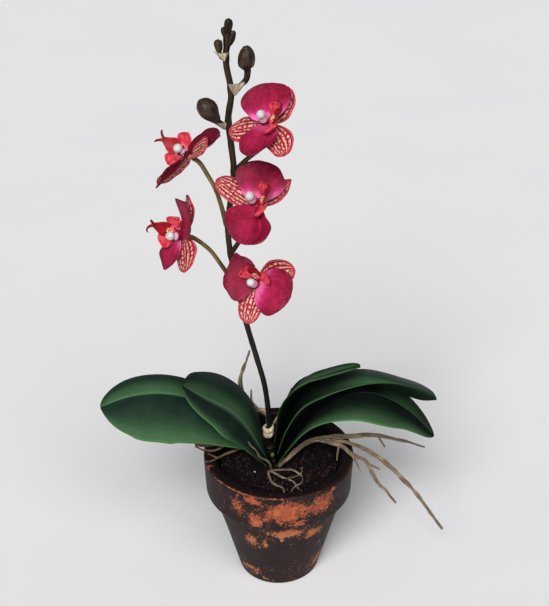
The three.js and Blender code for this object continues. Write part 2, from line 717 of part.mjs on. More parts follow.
// Assembly
addNode('pot', potGeometry(), 0x4a2f26, 0.8);
addNode('soil', soilGeometry(), 0x1a1214, 0.95);
addNode('crown', crownGeometry(), 0x4c6a2c, 0.6);
for (const leaf of LEAVES) addNode(leaf.name, leafGeometry(leaf), 0x1f4a2c, 0.4);
addNode('flower_spike', spikeGeometry(), 0x2b2618, 0.55);
addNode('basal_sheath', sheathGeometry(), 0xd9cfa0, 0.7);
const clearance = spikeStrands(GAP).map(solidOf).reduce((sum, next) => sum.add(next));
for (const bud of BUDS) addNode(bud.name, cutClear(egg(bud, 12, 8), clearance), 0x3a2a20, 0.5);
for (const bract of BRACTS) addNode(bract.name, cutClear(egg(bract, 10, 6), clearance), 0xd2bd94, 0.8);
for (const bloom of BLOOMS) addBloom(bloom);
for (const [name, strands] of Object.entries(ROOTS)) addNode(name, rootGeometry(strands), 0x9c8670, 0.8);

export default group;
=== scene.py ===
# A miniature moth orchid in a small terracotta pot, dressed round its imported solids, in metres.
# The origin is where the pot's axis meets the floor, Z is up and the front of the plant faces -Y.
# Shapes are worked out in millimetres and become metres as they are put into their meshes.

import bpy
import numpy as np
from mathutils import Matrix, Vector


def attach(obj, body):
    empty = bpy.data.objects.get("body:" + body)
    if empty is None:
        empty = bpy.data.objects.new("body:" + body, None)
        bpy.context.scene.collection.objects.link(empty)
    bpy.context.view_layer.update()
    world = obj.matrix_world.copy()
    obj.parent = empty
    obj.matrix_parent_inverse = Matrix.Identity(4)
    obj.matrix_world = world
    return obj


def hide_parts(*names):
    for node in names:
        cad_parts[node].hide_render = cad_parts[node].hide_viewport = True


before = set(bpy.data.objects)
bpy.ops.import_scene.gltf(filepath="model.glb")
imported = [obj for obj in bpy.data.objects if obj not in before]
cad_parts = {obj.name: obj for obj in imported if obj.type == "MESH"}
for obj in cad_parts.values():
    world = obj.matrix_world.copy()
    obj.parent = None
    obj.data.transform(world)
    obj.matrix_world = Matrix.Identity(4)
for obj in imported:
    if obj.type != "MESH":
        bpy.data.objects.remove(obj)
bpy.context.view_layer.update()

# Pot: a thrown clay flowerpot whose thick wall widens to a tall plain band round its mouth.
# A thin dark wash covers the clay, and it has flaked off in patches, most of them at the front.
# It stands on the floor on its own base, and a drain hole goes through its bottom.
MM = 0.001
POT = {
    "rim_radius": 40,
    "height": 75,
    "base_radius": 21.8,
    "band_height": 21.7,
    "band_taper": 1,
    "ledge_inside": 0.8,
    "ledge_outside": 0.3,
    "neck_radius": 35.4,
    "mouth_radius": 34.2,
    "floor_radius": 18,
    "floor": 5,
    "drain_radius": 5,
    "out_of_true": 0.25,
    "wave_length": 45,
    "throwing_ring": 0.04,
    "throwing_rate": 2.1,
    "columns": 300,
    "step": 0.8,
}
# Each flake: degrees round from the front, height, half-width in degrees, half-height and strength.
FLAKES = [
    (6, 65, 17, 6.5, 1),
    (-20, 71.8, 6, 2, 1),
    (33, 66, 11, 6, 0.85),
    (-17, 59.5, 6, 4.5, 0.9),
    (-32, 65, 7, 7, 0.6),
    (15, 57, 7, 3, 0.7),
    (44, 73, 3, 1.5, 0.8),
    (8, 46, 15, 3.5, 1),
    (34, 41.5, 10, 3.5, 0.85),
    (-27, 37, 6, 4.5, 0.8),
    (-14, 36.5, 3, 4, 0.75),
    (-20, 32.5, 2.5, 2, 0.75),
    (48, 29, 3, 1.5, 0.7),
    (-40, 10, 6, 1.5, 0.9),
    (-53, 8, 5, 2, 0.85),
    (-31, 6.5, 3, 1.5, 0.8),
    (-18, 3.5, 6, 1, 0.7),
    (-8, 3.2, 3, 0.8, 0.7),
    (58, 12, 12, 5, 0.8),
    (-69, 74.4, 2.5, 0.8, 0.85),
    (0, 64, 44, 11, 0.33),
    (4, 44, 34, 8, 0.29),
    (-38, 9, 30, 6, 0.33),
    (40, 9, 26, 8, 0.3),
]
# The stretch of the rim's outer corner that wear has laid bare, and how much of each end it fades over,
# in degrees round from the front.
RIM_WEAR = {
    "from": -60, "to": 9, "fade": 6,
    "radius": 39.5, "height": 74.45, "reach": 0.55, "strength": 0.68,
}
HIDDEN_FLAKES = {"count": 16, "seed": 41, "strength": 0.8}


def rounded_outline(corners, radii, step):
    """A closed outline with rounded corners: each corner is the quadratic curve between the points
    a radius away from it on its two sides, and the straights between are cut into equal steps."""
    corners = np.asarray(corners, float)
    back = np.roll(corners, 1, axis=0) - corners
    onward = np.roll(corners, -1, axis=0) - corners
    reach = np.asarray(radii, float)[:, None]
    starts = corners + reach * back / np.linalg.norm(back, axis=1, keepdims=True)
    ends = corners + reach * onward / np.linalg.norm(onward, axis=1, keepdims=True)
    t = np.linspace(0, 1, 5)[None, :, None]
    arcs = (1 - t) ** 2 * starts[:, None] + 2 * t * (1 - t) * corners[:, None] + t**2 * ends[:, None]
    parts = []
    for arc, start, end in zip(arcs, ends, np.roll(starts, -1, axis=0)):
        count = max(int(np.linalg.norm(end - start) / step), 1)
        parts += [arc, start + (end - start) * np.linspace(0, 1, count + 1)[1:-1, None]]
    return np.concatenate(parts)


def waver(points, wavelength, seed):
    """A smooth random value, about -1 to 1, at each point: the sum of twelve sine waves of about
    the given wavelength that run in random directions, divided by the root of their number."""
    draw = np.random.default_rng(seed)
    directions = draw.normal(size=(3, 12))
    directions /= np.linalg.norm(directions, axis=0)
    directions *= 2 * np.pi / (wavelength * draw.uniform(0.7, 1.5, 12))
    return np.sin(points @ directions + draw.uniform(0, 2 * np.pi, 12)).sum(axis=-1) / 12**0.5


def shell(rings, place, tone, ends=None, endless=False):
    """A closed surface from rings of points. Quads join each ring to the next; the rings either run
    round in a loop (endless), or a fan of triangles joins each end ring to its end point, which is
    the middle of the ring unless ends gives it. The faces are turned to point outward."""
    rows, columns = rings.shape[:2]
    index = np.arange(rows * columns).reshape(rows, columns)
    low = index if endless else index[:-1]
    high = np.roll(index, -1, axis=0) if endless else index[1:]
    quads = [low, np.roll(low, -1, axis=1), np.roll(high, -1, axis=1), high]
    quads = np.stack(quads, axis=-1).reshape(-1, 4)
    points = rings.reshape(-1, 3)
    place = np.broadcast_to(place, rings.shape).reshape(-1, 3)
    tone = np.broadcast_to(tone, rings.shape[:2]).reshape(-1)
    fans = np.empty((0, 3), int)
    if not endless:
        tips = np.array([rings[0].mean(axis=0), rings[-1].mean(axis=0)] if ends is None else ends)
        last = rows * columns
        foot = np.stack([np.roll(index[0], -1), index[0], np.full(columns, last)], axis=-1)
        head = np.stack([index[-1], np.roll(index[-1], -1), np.full(columns, last + 1)], axis=-1)
        fans = np.concatenate([foot, head])
        points = np.concatenate([points, tips])
        tip_places = [place[:columns].mean(axis=0), place[-columns:].mean(axis=0)]
        place = np.concatenate([place, tip_places])
        tone = np.concatenate([tone, [tone[:columns].mean(), tone[-columns:].mean()]])
    triangles = np.concatenate([quads[:, :3], quads[:, [0, 2, 3]], fans])
    corners = points[triangles] - points.mean(axis=0)
    volume = np.einsum("ij,ij->i", corners[:, 0], np.cross(corners[:, 1], corners[:, 2])).sum()
    if volume < 0:
        quads, fans = quads[:, ::-1], fans[:, ::-1]
    return {"points": points, "quads": quads, "fans": fans, "place": place, "tone": tone}


def build(node, shells, material):
    """One piece that stands for a CAD node: the shells joined in a mesh, in metres, which keeps two
    attributes for its material. Place says how far along a point lies and where round its ring or
    across its blade; tone is a number that each material reads in its own way."""
    points = np.concatenate([part["points"] for part in shells]) * MM
    starts = np.cumsum([0] + [len(part["points"]) for part in shells[:-1]])
    faces = []
    for part, start in zip(shells, starts):
        faces += (part["quads"] + start).tolist() + (part["fans"] + start).tolist()
    mesh = bpy.data.meshes.new(node + "_shape")
    mesh.from_pydata(points.tolist(), [], faces)
    mesh.shade_smooth()
    place = np.concatenate([part["place"] for part in shells]).astype(np.float32)
    mesh.attributes.new("place", "FLOAT_VECTOR", "POINT").data.foreach_set("vector", place.ravel())
    tone = np.concatenate([part["tone"] for part in shells]).astype(np.float32)
    mesh.attributes.new("tone", "FLOAT", "POINT").data.foreach_set("value", tone)
    mesh.materials.append(material)
    piece = bpy.data.objects.new(node + "_shape", mesh)
    bpy.context.scene.collection.objects.link(piece)
    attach(piece, "root")
    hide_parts(node)


def colour(code):
    """The linear red, green, blue and alpha of a six-figure screen colour."""
    screen = np.array([int(code[k : k + 2], 16) for k in (0, 2, 4)]) / 255
    linear = np.where(screen <= 0.04045, screen / 12.92, ((screen + 0.055) / 1.055) ** 2.4)
    return (*linear, 1.0)


class Recipe:
    """The nodes of a material or a group as they are put in. Most calls add one node and give its
    output. A value is an output of another node, a number, or a colour as a screen code."""

    def __init__(self, tree):
        self.tree = tree

    def put(self, socket, value):
        """Links a value to a socket, or sets the socket to it."""
        if isinstance(value, bpy.types.NodeSocket):
            self.tree.links.new(value, socket)
        else:
            socket.default_value = colour(value) if isinstance(value, str) else value

    def add(self, kind, values=None, **settings):
        """A new node, with the values put into its sockets by name and its own settings set."""
        node = self.tree.nodes.new(kind)
        for name, value in settings.items():
            setattr(node, name, value)
        for name, value in (values or {}).items():
            self.put(node.inputs[name], value)
        return node

    def maths(self, operation, *values):
        """One operation on one to three values."""
        node = self.add("ShaderNodeMath", operation=operation)
        for socket, value in zip(node.inputs, values):
            self.put(socket, value)
        return node.outputs[0]

    def times(self, first, second):
        """The product of two values."""
        return self.maths("MULTIPLY", first, second)

    def step(self, value, low, high, start=0.0, end=1.0):
        """start where the value is low, end where it is high, and a smooth S between."""
        values = {"Value": value, "From Min": low, "From Max": high, "To Min": start, "To Max": end}
        return self.add("ShaderNodeMapRange", values, interpolation_type="SMOOTHSTEP").outputs[0]

    def mix(self, share, first, second):
        """The first colour where share is 0 and the second where it is 1."""
        node = self.add("ShaderNodeMix", {0: share}, data_type="RGBA")
        self.put(node.inputs[6], first)
        self.put(node.inputs[7], second)
        return node.outputs[2]

    def noise(self, vector, scale, detail=2.0, roughness=0.5):
        """Cloudy noise, about 0 to 1, whose features are about 1 / scale across."""
        values = {"Vector": vector, "Scale": scale, "Detail": detail, "Roughness": roughness}
        return self.add("ShaderNodeTexNoise", values).outputs[0]

    def stretch(self, vector, scales):
        """The vector with each of its numbers multiplied by its own scale."""
        node = self.add("ShaderNodeVectorMath", {0: vector, 1: scales}, operation="MULTIPLY")
        return node.outputs[0]

    def numbers(self, vector):
        """The three numbers of a vector."""
        return self.add("ShaderNodeSeparateXYZ", {0: vector}).outputs

    def millimetres(self):
        """Object coordinates in millimetres."""
        return self.stretch(self.add("ShaderNodeTexCoord").outputs["Object"], (1000, 1000, 1000))

    def place(self):
        """The place attribute of the piece."""
        return self.add("ShaderNodeAttribute", attribute_name="place").outputs["Vector"]

    def tone(self):
        """The tone attribute of the piece."""
        return self.add("ShaderNodeAttribute", attribute_name="tone").outputs["Fac"]

    def use(self, group, values):
        """A group placed with its own values; its first output is given."""
        node = self.add("ShaderNodeGroup", node_tree=group)
        for name, value in values.items():
            self.put(node.inputs[name], value)
        return node.outputs[0]

    def bump(self, height, depth, strength):
        """A normal bent by a height of 0 to 1 that stands for a depth in millimetres."""
        values = {"Height": height, "Distance": depth * MM, "Strength": strength}
        return self.add("ShaderNodeBump", values).outputs[0]


def new_material(name, **fixed):
    """A material with its shader, whose sockets take the fixed values, and the recipe that fills it."""
    material = bpy.data.materials.new(name)
    material.use_nodes = True
    recipe = Recipe(material.node_tree)
    shader = material.node_tree.nodes["Principled BSDF"]
    for label, value in fixed.items():
        recipe.put(shader.inputs[label.replace("_", " ")], value)
    return material, recipe, shader.inputs


def new_group(name, vector, numbers):
    """A node group that takes one vector and some numbers and gives one number."""
    tree = bpy.data.node_groups.new(name, "ShaderNodeTree")
    tree.interface.new_socket(vector, in_out="INPUT", socket_type="NodeSocketVector")
    for label, start in numbers.items():
        socket = tree.interface.new_socket(label, in_out="INPUT", socket_type="NodeSocketFloat")
        socket.default_value = start
    return tree, Recipe(tree), tree.nodes.new("NodeGroupInput").outputs


def close_group(tree, label, value):
    """Names the group's only output and gives it its value."""
    tree.interface.new_socket(label, in_out="OUTPUT", socket_type="NodeSocketFloat")
    tree.links.new(value, tree.nodes.new("NodeGroupOutput").inputs[0])
    return tree


# Soft blotches: noise whose features are about Size across, spread to 0 and 1 by Contrast.
tree, recipe, given = new_group("Blotches", "Vector", {"Size": 5.0, "Contrast": 0.2})
scale = recipe.maths("DIVIDE", 1.0, given["Size"])
cloud = recipe.noise(given["Vector"], scale, 3.0, 0.6)
lower = recipe.maths("SUBTRACT", 0.5, given["Contrast"])
upper = recipe.maths("ADD", 0.5, given["Contrast"])
blotches = close_group(tree, "Mask", recipe.step(cloud, lower, upper))

# Fine grain: a close noise with small pits in it, as a height.
tree, recipe, given = new_group("Grain", "Vector", {"Size": 0.5})
scale = recipe.maths("DIVIDE", 1.0, given["Size"])
cloud = recipe.noise(given["Vector"], scale, 5.0, 0.65)
cells = recipe.add("ShaderNodeTexVoronoi", {"Vector": given["Vector"], "Scale": scale}).outputs[0]
grain = close_group(tree, "Height", recipe.maths("MULTIPLY_ADD", cells, 0.35, cloud))


def blotched(recipe, vector, size, contrast):
    """A mask of soft blotches about size millimetres across."""
    return recipe.use(blotches, {"Vector": vector, "Size": size, "Contrast": contrast})


def grained(recipe, vector, size):
    """A height of grain about size millimetres across."""
    return recipe.use(grain, {"Vector": vector, "Size": size})


terracotta, recipe, shader = new_material("terracotta", Specular_IOR_Level=0.35)
surface = recipe.millimetres()
flaked = recipe.tone()
height = recipe.numbers(surface)[2]
flat = recipe.stretch(surface, (1, 1, 0))
radius = recipe.add("ShaderNodeVectorMath", {0: flat}, operation="LENGTH").outputs["Value"]

# The tone is how likely the wash is to be gone. Two noises make that ragged, and above 0.6 the clay is bare.
ragged = recipe.noise(surface, 0.26, 5.0, 0.65)
fleck = recipe.noise(surface, 0.95, 4.0, 0.65)
field = recipe.maths("MULTIPLY_ADD", recipe.maths("SUBTRACT", ragged, 0.5), 1.6, flaked)
field = recipe.maths("MULTIPLY_ADD", recipe.maths("SUBTRACT", fleck, 0.5), 1.9, field)
bare = recipe.step(field, 0.5, 0.6)
worn_edge = recipe.step(field, 0.34, 0.52)

# The wash, the bare clay, the thin wash between them, and painted shade inside the rim.
wash = recipe.mix(blotched(recipe, surface, 9, 0.25), "1c0f12", "2d1918")
wash = recipe.mix(recipe.step(fleck, 0.54, 0.8, 0.0, 0.5), wash, "522b22")
clay = recipe.mix(blotched(recipe, surface, 3, 0.2), "8f4530", "b56848")
clay = recipe.mix(recipe.step(recipe.noise(surface, 1.6, 3.0), 0.5, 0.75, 0, 0.45), clay, "cc8a66")
clay = recipe.mix(recipe.step(height, 54, 46, 0, 0.45), clay, "bd8558")
thin_wash = recipe.mix(recipe.noise(surface, 0.8), "55302a", "a06a48")
skin = recipe.mix(recipe.times(worn_edge, 0.7), wash, thin_wash)
skin = recipe.mix(bare, skin, clay)
# Painted shade: darker inside the mouth and on the inner rim top above 62 mm, less of it on bare clay.
painted_inner_shade = recipe.times(recipe.step(radius, 39.2, 38.2), recipe.step(height, 62, 66))
painted_inner_shade = recipe.times(painted_inner_shade, recipe.step(bare, 1, 0, 0.3, 0.85))
recipe.put(shader["Base Color"], recipe.mix(painted_inner_shade, skin, "110a0d"))
recipe.put(shader["Roughness"], recipe.step(bare, 0, 1, 0.58, 0.92))
pores = grained(recipe, surface, 0.9)
relief = recipe.maths("MULTIPLY_ADD", bare, -0.9, pores)
recipe.put(shader["Normal"], recipe.bump(relief, 0.16, 0.8))

# The outline of the pot's wall and bottom: out from the drain hole, up the outside, over the rim and back
# down the inside. Each corner has its own rounding.
band_foot = POT["height"] - POT["band_height"]
POT_CORNERS = [
    (POT["drain_radius"], 0),
    (POT["base_radius"], 0),
    (POT["neck_radius"], band_foot - POT["ledge_inside"]),
    (POT["rim_radius"] - POT["band_taper"], band_foot - POT["ledge_outside"]),
    (POT["rim_radius"], POT["height"]),
    (POT["mouth_radius"], POT["height"]),
    (POT["floor_radius"], POT["floor"]),
    (POT["drain_radius"], POT["floor"]),
]
POT_ROUNDING = [0.8, 1.4, 0.5, 1.3, 1.6, 1.4, 2, 0.8]


def wrap(degrees):
    """Degrees brought into the range from -180 to 180."""
    return (degrees + 180) % 360 - 180


def hidden_flakes():
    """Rows like those of FLAKES, drawn at random over the back half of the pot."""
    draw = np.random.default_rng(HIDDEN_FLAKES["seed"])
    return [
        (
            draw.uniform(90, 270), draw.uniform(4, 72),
            draw.uniform(2, 8), draw.uniform(1, 3.5), HIDDEN_FLAKES["strength"],
        )
        for _ in range(HIDDEN_FLAKES["count"])
    ]


def flake_strength(round_by, radius, height):
    """How likely the wash is to be gone: the highest of the flakes' bells, each
    strength * exp(-0.7 ((angle / half-width)^2 + (rise / half-height)^2)), and the rim's worn corner,
    strength * exp(-(distance from the corner / reach)^2)."""
    strongest = np.zeros_like(height)
    for angle, rise, half_angle, half_rise, strength in FLAKES + hidden_flakes():
        away = (wrap(round_by - angle) / half_angle) ** 2 + ((height - rise) / half_rise) ** 2
        strongest = np.maximum(strongest, strength * np.exp(-0.7 * away))
    middle = (RIM_WEAR["from"] + RIM_WEAR["to"]) / 2
    inside = RIM_WEAR["to"] - middle - np.abs(wrap(round_by - middle))
    inside = np.clip(inside / RIM_WEAR["fade"], 0, 1)
    off = np.hypot(height - RIM_WEAR["height"], radius - RIM_WEAR["radius"]) / RIM_WEAR["reach"]
    return np.maximum(strongest, RIM_WEAR["strength"] * inside * np.exp(-(off**2)))


def pot_shell():
    """The rounded outline turned round the Z axis, with the wall out of true by out_of_true * waver
    and faint throwing rings of throwing_ring * sin(throwing_rate * z). Only its outside can flake."""
    outline = rounded_outline(POT_CORNERS, POT_ROUNDING, POT["step"])
    turn = 2 * np.pi * np.arange(POT["columns"]) / POT["columns"]
    radius = np.broadcast_to(outline[:, :1], (len(outline), len(turn)))
    height = np.broadcast_to(outline[:, 1:], radius.shape)
    circle = np.stack([np.sin(turn), -np.cos(turn)], axis=-1)
    rings = np.concatenate([radius[..., None] * circle, height[..., None]], axis=-1)
    out_of_true = POT["out_of_true"] * waver(rings, POT["wave_length"], 3)
    outward = out_of_true + POT["throwing_ring"] * np.sin(POT["throwing_rate"] * height)
    outward *= np.clip(radius / POT["mouth_radius"], 0, 1)
    rings[..., :2] += outward[..., None] * circle
    round_by = np.degrees(np.broadcast_to(turn, radius.shape))
    within_wall = np.interp(height, [0, POT["height"]], [POT["floor_radius"], POT["neck_radius"] + 1])
    flaked = flake_strength(round_by, radius, height) * (radius > within_wall)
    return shell(rings, 0.0, flaked, endless=True)


build("pot", [pot_shell()], terracotta)

# Soil: fine dark peat crumbs that fill the pot to just under its rim, with two pale grains in it.
# It is a solid plug with an uneven top, and loose crumbs lie all over that.
SOIL = {
    "level": 66, "bump": 0.7, "foot": 5.35, "gap": 0.35, "shoulder": 1.2, "corner": 0.2,
    "dip": 0.8, "dip_reach": 3, "roughness": 0.4, "clod_size": 1.8,
    "wall_rings": 14, "top_rings": 56, "innermost": 0.6, "columns": 120, "tone": 0.2,
}
CRUMBS = {"count": 4200, "smallest": 0.32, "spread": 0.95, "from_edge": 1.4, "rise": 0.3}
# The place of each pale grain on the soil and its radius, and how far above the soil their middles are.
PALE_GRAINS = [(-12.8, -8.2, 0.62), (9.1, -27, 0.5)]
PALE_RISE = 0.9
PALE_TONE = 2.0


def soil_height(x, y):
    """The mean level plus bump * (sin(0.37 x + 1.3) cos(0.31 y - 0.4) + sin(0.83 x - 0.71 y) / 2)."""
    slow = np.sin(0.37 * x + 1.3) * np.cos(0.31 * y - 0.4)
    return SOIL["level"] + SOIL["bump"] * (slow + 0.5 * np.sin(0.83 * x - 0.71 * y))


def inner_radius(z):
    """The inside radius of the pot at a height, a straight line from its floor to its mouth."""
    return np.interp(z, [POT["floor"], POT["height"]], [POT["floor_radius"], POT["mouth_radius"]])


def plug_shell():
    """Rings up the pot's inside and then inward over the top, where z = soil_height and a closer
    roughness * waver is added; the top dips toward the wall."""
    wall = np.linspace(SOIL["foot"], SOIL["level"] - SOIL["shoulder"], SOIL["wall_rings"])
    edge = inner_radius(SOIL["level"]) - SOIL["gap"]
    across = np.linspace(edge - SOIL["corner"], SOIL["innermost"], SOIL["top_rings"])
    radius = np.concatenate([inner_radius(wall) - SOIL["gap"], across])
    turn = 2 * np.pi * np.arange(SOIL["columns"]) / SOIL["columns"]
    x = radius[:, None] * np.cos(turn)
    y = radius[:, None] * np.sin(turn)
    near_wall = np.clip((radius[:, None] - edge + SOIL["dip_reach"]) / SOIL["dip_reach"], 0, 1)
    top = soil_height(x, y) - SOIL["dip"] * near_wall
    top += SOIL["roughness"] * waver(np.stack([x, y, 0 * x], axis=-1), SOIL["clod_size"], 5)
    on_top = np.arange(len(radius))[:, None] >= len(wall)
    height = np.where(on_top, top, np.concatenate([wall, across])[:, None])
    rings = np.stack([x, y, height], axis=-1)
    middle = [[0, 0, SOIL["foot"]], [0, 0, soil_height(0.0, 0.0)]]
    return shell(rings, 0.0, SOIL["tone"], ends=middle)


def twenty_faces():
    """The twelve corners of a regular solid of twenty faces, and its faces, which point outward."""
    gold = (1 + 5**0.5) / 2
    base = np.array([(0, a, b * gold) for a in (1, -1) for b in (1, -1)], float)
    corners = np.concatenate([base, np.roll(base, 1, axis=1), np.roll(base, 2, axis=1)])
    corners /= np.linalg.norm(corners[0])
    apart = np.linalg.norm(corners[:, None] - corners[None], axis=-1)
    near = (apart > 0.1) & (apart < 1.2)
    trios = [(a, b, c) for a in range(12) for b in range(a) for c in range(b)]
    faces = np.array([(a, b, c) for a, b, c in trios if near[a, b] and near[b, c] and near[a, c]])
    first, second, third = (corners[faces[:, k]] for k in range(3))
    facing = np.einsum("ij,ij->i", np.cross(first, second), third)
    faces[facing < 0] = faces[facing < 0][:, ::-1]
    return corners, faces


def lump_shells(centres, radii, tones, seed):
    """Crumbs: each is a 20-faced ball of 12 points, turned and stretched at random,
    centre + radius * (turn of (stretch * corner)), all worked out as one array."""
    draw = np.random.default_rng(seed)
    corners, faces = twenty_faces()
    count = len(centres)
    stretched = corners * draw.uniform(0.65, 1.25, (count, 12, 1)) * draw.uniform(0.7, 1.3, (count, 1, 3))
    turns = np.linalg.qr(draw.normal(size=(count, 3, 3)))[0]
    turns *= np.sign(np.linalg.det(turns))[:, None, None]
    points = centres[:, None] + radii[:, None, None] * (stretched @ turns)
    fans = faces[None] + 12 * np.arange(count)[:, None, None]
    return {
        "points": points.reshape(-1, 3),
        "quads": np.empty((0, 4), int),
        "fans": fans.reshape(-1, 3),
        "place": np.zeros((12 * count, 3)),
        "tone": np.repeat(tones, 12),
    }


def crumbs():
    """Crumbs spread evenly over the round top, with many small ones and few large ones, and random
    tones; each middle stands above the soil by rise * radius."""
    draw = np.random.default_rng(8)
    count = CRUMBS["count"]
    out = (inner_radius(SOIL["level"]) - CRUMBS["from_edge"]) * np.sqrt(draw.uniform(0, 1, count))
    turn = draw.uniform(0, 2 * np.pi, count)
    x, y = out * np.cos(turn), out * np.sin(turn)
    radii = CRUMBS["smallest"] + CRUMBS["spread"] * draw.uniform(0, 1, count) ** 2.2
    centres = np.stack([x, y, soil_height(x, y) + CRUMBS["rise"] * radii], axis=-1)
    return lump_shells(centres, radii, draw.uniform(0, 1, count) ** 2, 9)


def pale_grains():
    """The two pale grains, on top of the crumbs, whose tone marks them."""
    x, y, radii = np.array(PALE_GRAINS).T
    centres = np.stack([x, y, soil_height(x, y) + PALE_RISE], axis=-1)
    return lump_shells(centres, radii, np.full(len(x), PALE_TONE), 10)


potting_soil, recipe, shader = new_material("potting_soil", Roughness=0.9, Specular_IOR_Level=0.2)
surface = recipe.millimetres()

# The tone is a crumb's shade, from dark to pale brown, and 2 on the pale grains.
shade = recipe.tone()
peat = recipe.mix(blotched(recipe, surface, 1.4, 0.3), "0c080a", "1c1215")
peat = recipe.mix(recipe.step(shade, 0.35, 1, 0, 0.8), peat, "4a3034")
recipe.put(shader["Base Color"], recipe.mix(recipe.step(shade, 1.4, 1.6), peat, "d9d2c8"))
clods = grained(recipe, surface, 0.6)
recipe.put(shader["Normal"], recipe.bump(clods, 0.3, 0.9))
build("soil", [plug_shell(), crumbs(), pale_grains()], potting_soil)

# Roots: dry aerial roots, thin twisted strands as light as raffia, tan and grey.
# They grow from the crown; a few lie on the soil, and the longer ones arch out over the rim.
SOIL_ROOT_RISE = 1.2
# A root at least this thick in radius is a bundle of three strands.
BUNDLE_FROM = 0.95
# How far round its quarter circle each ring of a strand's rounded end lies, in degrees.
END_RINGS = [14, 32, 52, 72, 90]
# How far from its two ends, in millimetres, the sway of a strand reaches its full size.
SWAY_EASE = 6


def smooth_path(points, shares):
    """Points at shares, 0 to 1, of the length of a centripetal Catmull-Rom curve: between each pair
    of given points it is the cubic whose slopes come from the neighbours, spaced by the square root
    of their distances."""
    knots = np.asarray(points, float)
    knots = np.vstack([2 * knots[0] - knots[1], knots, 2 * knots[-1] - knots[-2]])
    spans = len(knots) - 3
    gaps = np.sqrt(np.linalg.norm(np.diff(knots, axis=0), axis=1))

    def at(time):
        span = np.minimum(time.astype(int), spans - 1)
        t = (time - span)[:, None]
        a, b, c, d = (knots[span + k] for k in range(4))
        before, here, after = (gaps[span + k][:, None] for k in range(3))
        leave = ((b - a) / before - (c - a) / (before + here) + (c - b) / here) * here
        reach = ((c - b) / here - (d - b) / (here + after) + (d - c) / after) * here
        cubic = 2 * (b - c) + leave + reach
        return b + t * leave + t**2 * (3 * (c - b) - 2 * leave - reach) + t**3 * cubic

    fine = np.linspace(0, spans, 40 * spans + 1)
    lengths = np.linalg.norm(np.diff(at(fine), axis=0), axis=1)
    travelled = np.concatenate([[0], np.cumsum(lengths)])
    return at(np.interp(np.asarray(shares) * travelled[-1], travelled, fine))


def eased(values, u):
    """The value at u, 0 to 1, of a few values spread evenly, joined by a Catmull-Rom curve."""
    knots = np.asarray(values, float)
    knots = np.concatenate([[2 * knots[0] - knots[1]], knots, [2 * knots[-1] - knots[-2]]])
    place = np.clip(u, 0, 1) * (len(values) - 1)
    span = np.minimum(place.astype(int), len(values) - 2)
    t = place - span
    a, b, c, d = (knots[span + k] for k in range(4))
    bend = 2 * a - 5 * b + 4 * c - d
    twist = 3 * (b - c) + d - a
    return 0.5 * (2 * b + (c - a) * t + bend * t**2 + twist * t**3)


def strand(path, radii, sides, step, lobes=0.0, sway=0.0, tone=0.0, seed=1):
    """A round closed strand. At each station of its smooth path is a ring, centre + radius * (1 +
    lobes * sin(3 a + twist)) * (cos(a) * side + sin(a) * up), and its radius shrinks at both ends as
    the square root of 1 - (1 - distance / radius)^2. Sway moves its middle off the path by waver."""
    rough = smooth_path(path, np.linspace(0, 1, 60))
    length = np.linalg.norm(np.diff(rough, axis=0), axis=1).sum()
    start, finish = radii[0], radii[-1]
    cap = 1 - np.cos(np.radians(END_RINGS))
    middle = np.linspace(start, length - finish, max(int(length / step), 3))
    stations = np.concatenate([start * cap[:-1], middle, (length - finish * cap[:-1])[::-1]])
    share = stations / length
    centre = smooth_path(path, share)
    tangent = np.gradient(centre, stations, axis=0)
    tangent /= np.linalg.norm(tangent, axis=1, keepdims=True)
    flattest = np.linalg.svd(tangent, full_matrices=True)[2][-1]
    flattest *= np.sign(flattest[np.argmax(np.abs(flattest))])
    side = np.cross(tangent, flattest)
    side /= np.linalg.norm(side, axis=1, keepdims=True)
    up = np.cross(side, tangent)
    free = np.minimum(stations, length - stations) / SWAY_EASE
    centre = centre + sway * np.clip(free, 0, 1)[:, None] * (
        waver(centre, 9, seed)[:, None] * side + waver(centre, 11, seed + 50)[:, None] * up
    )
    nearest = np.minimum(stations / start, (length - stations) / finish)
    closing = np.sqrt(np.clip(1 - np.clip(1 - nearest, 0, 1) ** 2, 0, 1))
    turn = 2 * np.pi * np.arange(sides) / sides
    radius = (eased(radii, share) * closing)[:, None]
    if lobes:
        radius = radius * (1 + lobes * np.sin(3 * turn + 0.22 * stations[:, None] + seed))
        radius = radius * (1 + 0.7 * lobes * waver(centre, 5, seed + 20)[:, None])
    ring = np.cos(turn)[None, :, None] * side[:, None] + np.sin(turn)[None, :, None] * up[:, None]
    rings = centre[:, None] + radius[..., None] * ring
    round_by = np.broadcast_to(np.stack([np.cos(turn), np.sin(turn)], axis=-1), (*rings.shape[:2], 2))
    along = np.broadcast_to(stations[:, None, None], (*rings.shape[:2], 1))
    place = np.concatenate([along, round_by], axis=-1)
    tones = np.broadcast_to(np.asarray(eased(tone, share) if np.ndim(tone) else tone), share.shape)
    return shell(rings, place, tones[:, None], ends=smooth_path(path, [0, 1]))


def basis(axis):
    """Two directions square to an axis, and the axis, as rows of length one."""
    axis = np.asarray(axis, float) / np.linalg.norm(axis)
    helper = np.array([0, -1, 0]) if abs(axis[1]) < 0.9 else np.array([1, 0, 0])
    side = np.cross(helper, axis)
    side /= np.linalg.norm(side)
    return np.stack([side, np.cross(axis, side), axis])


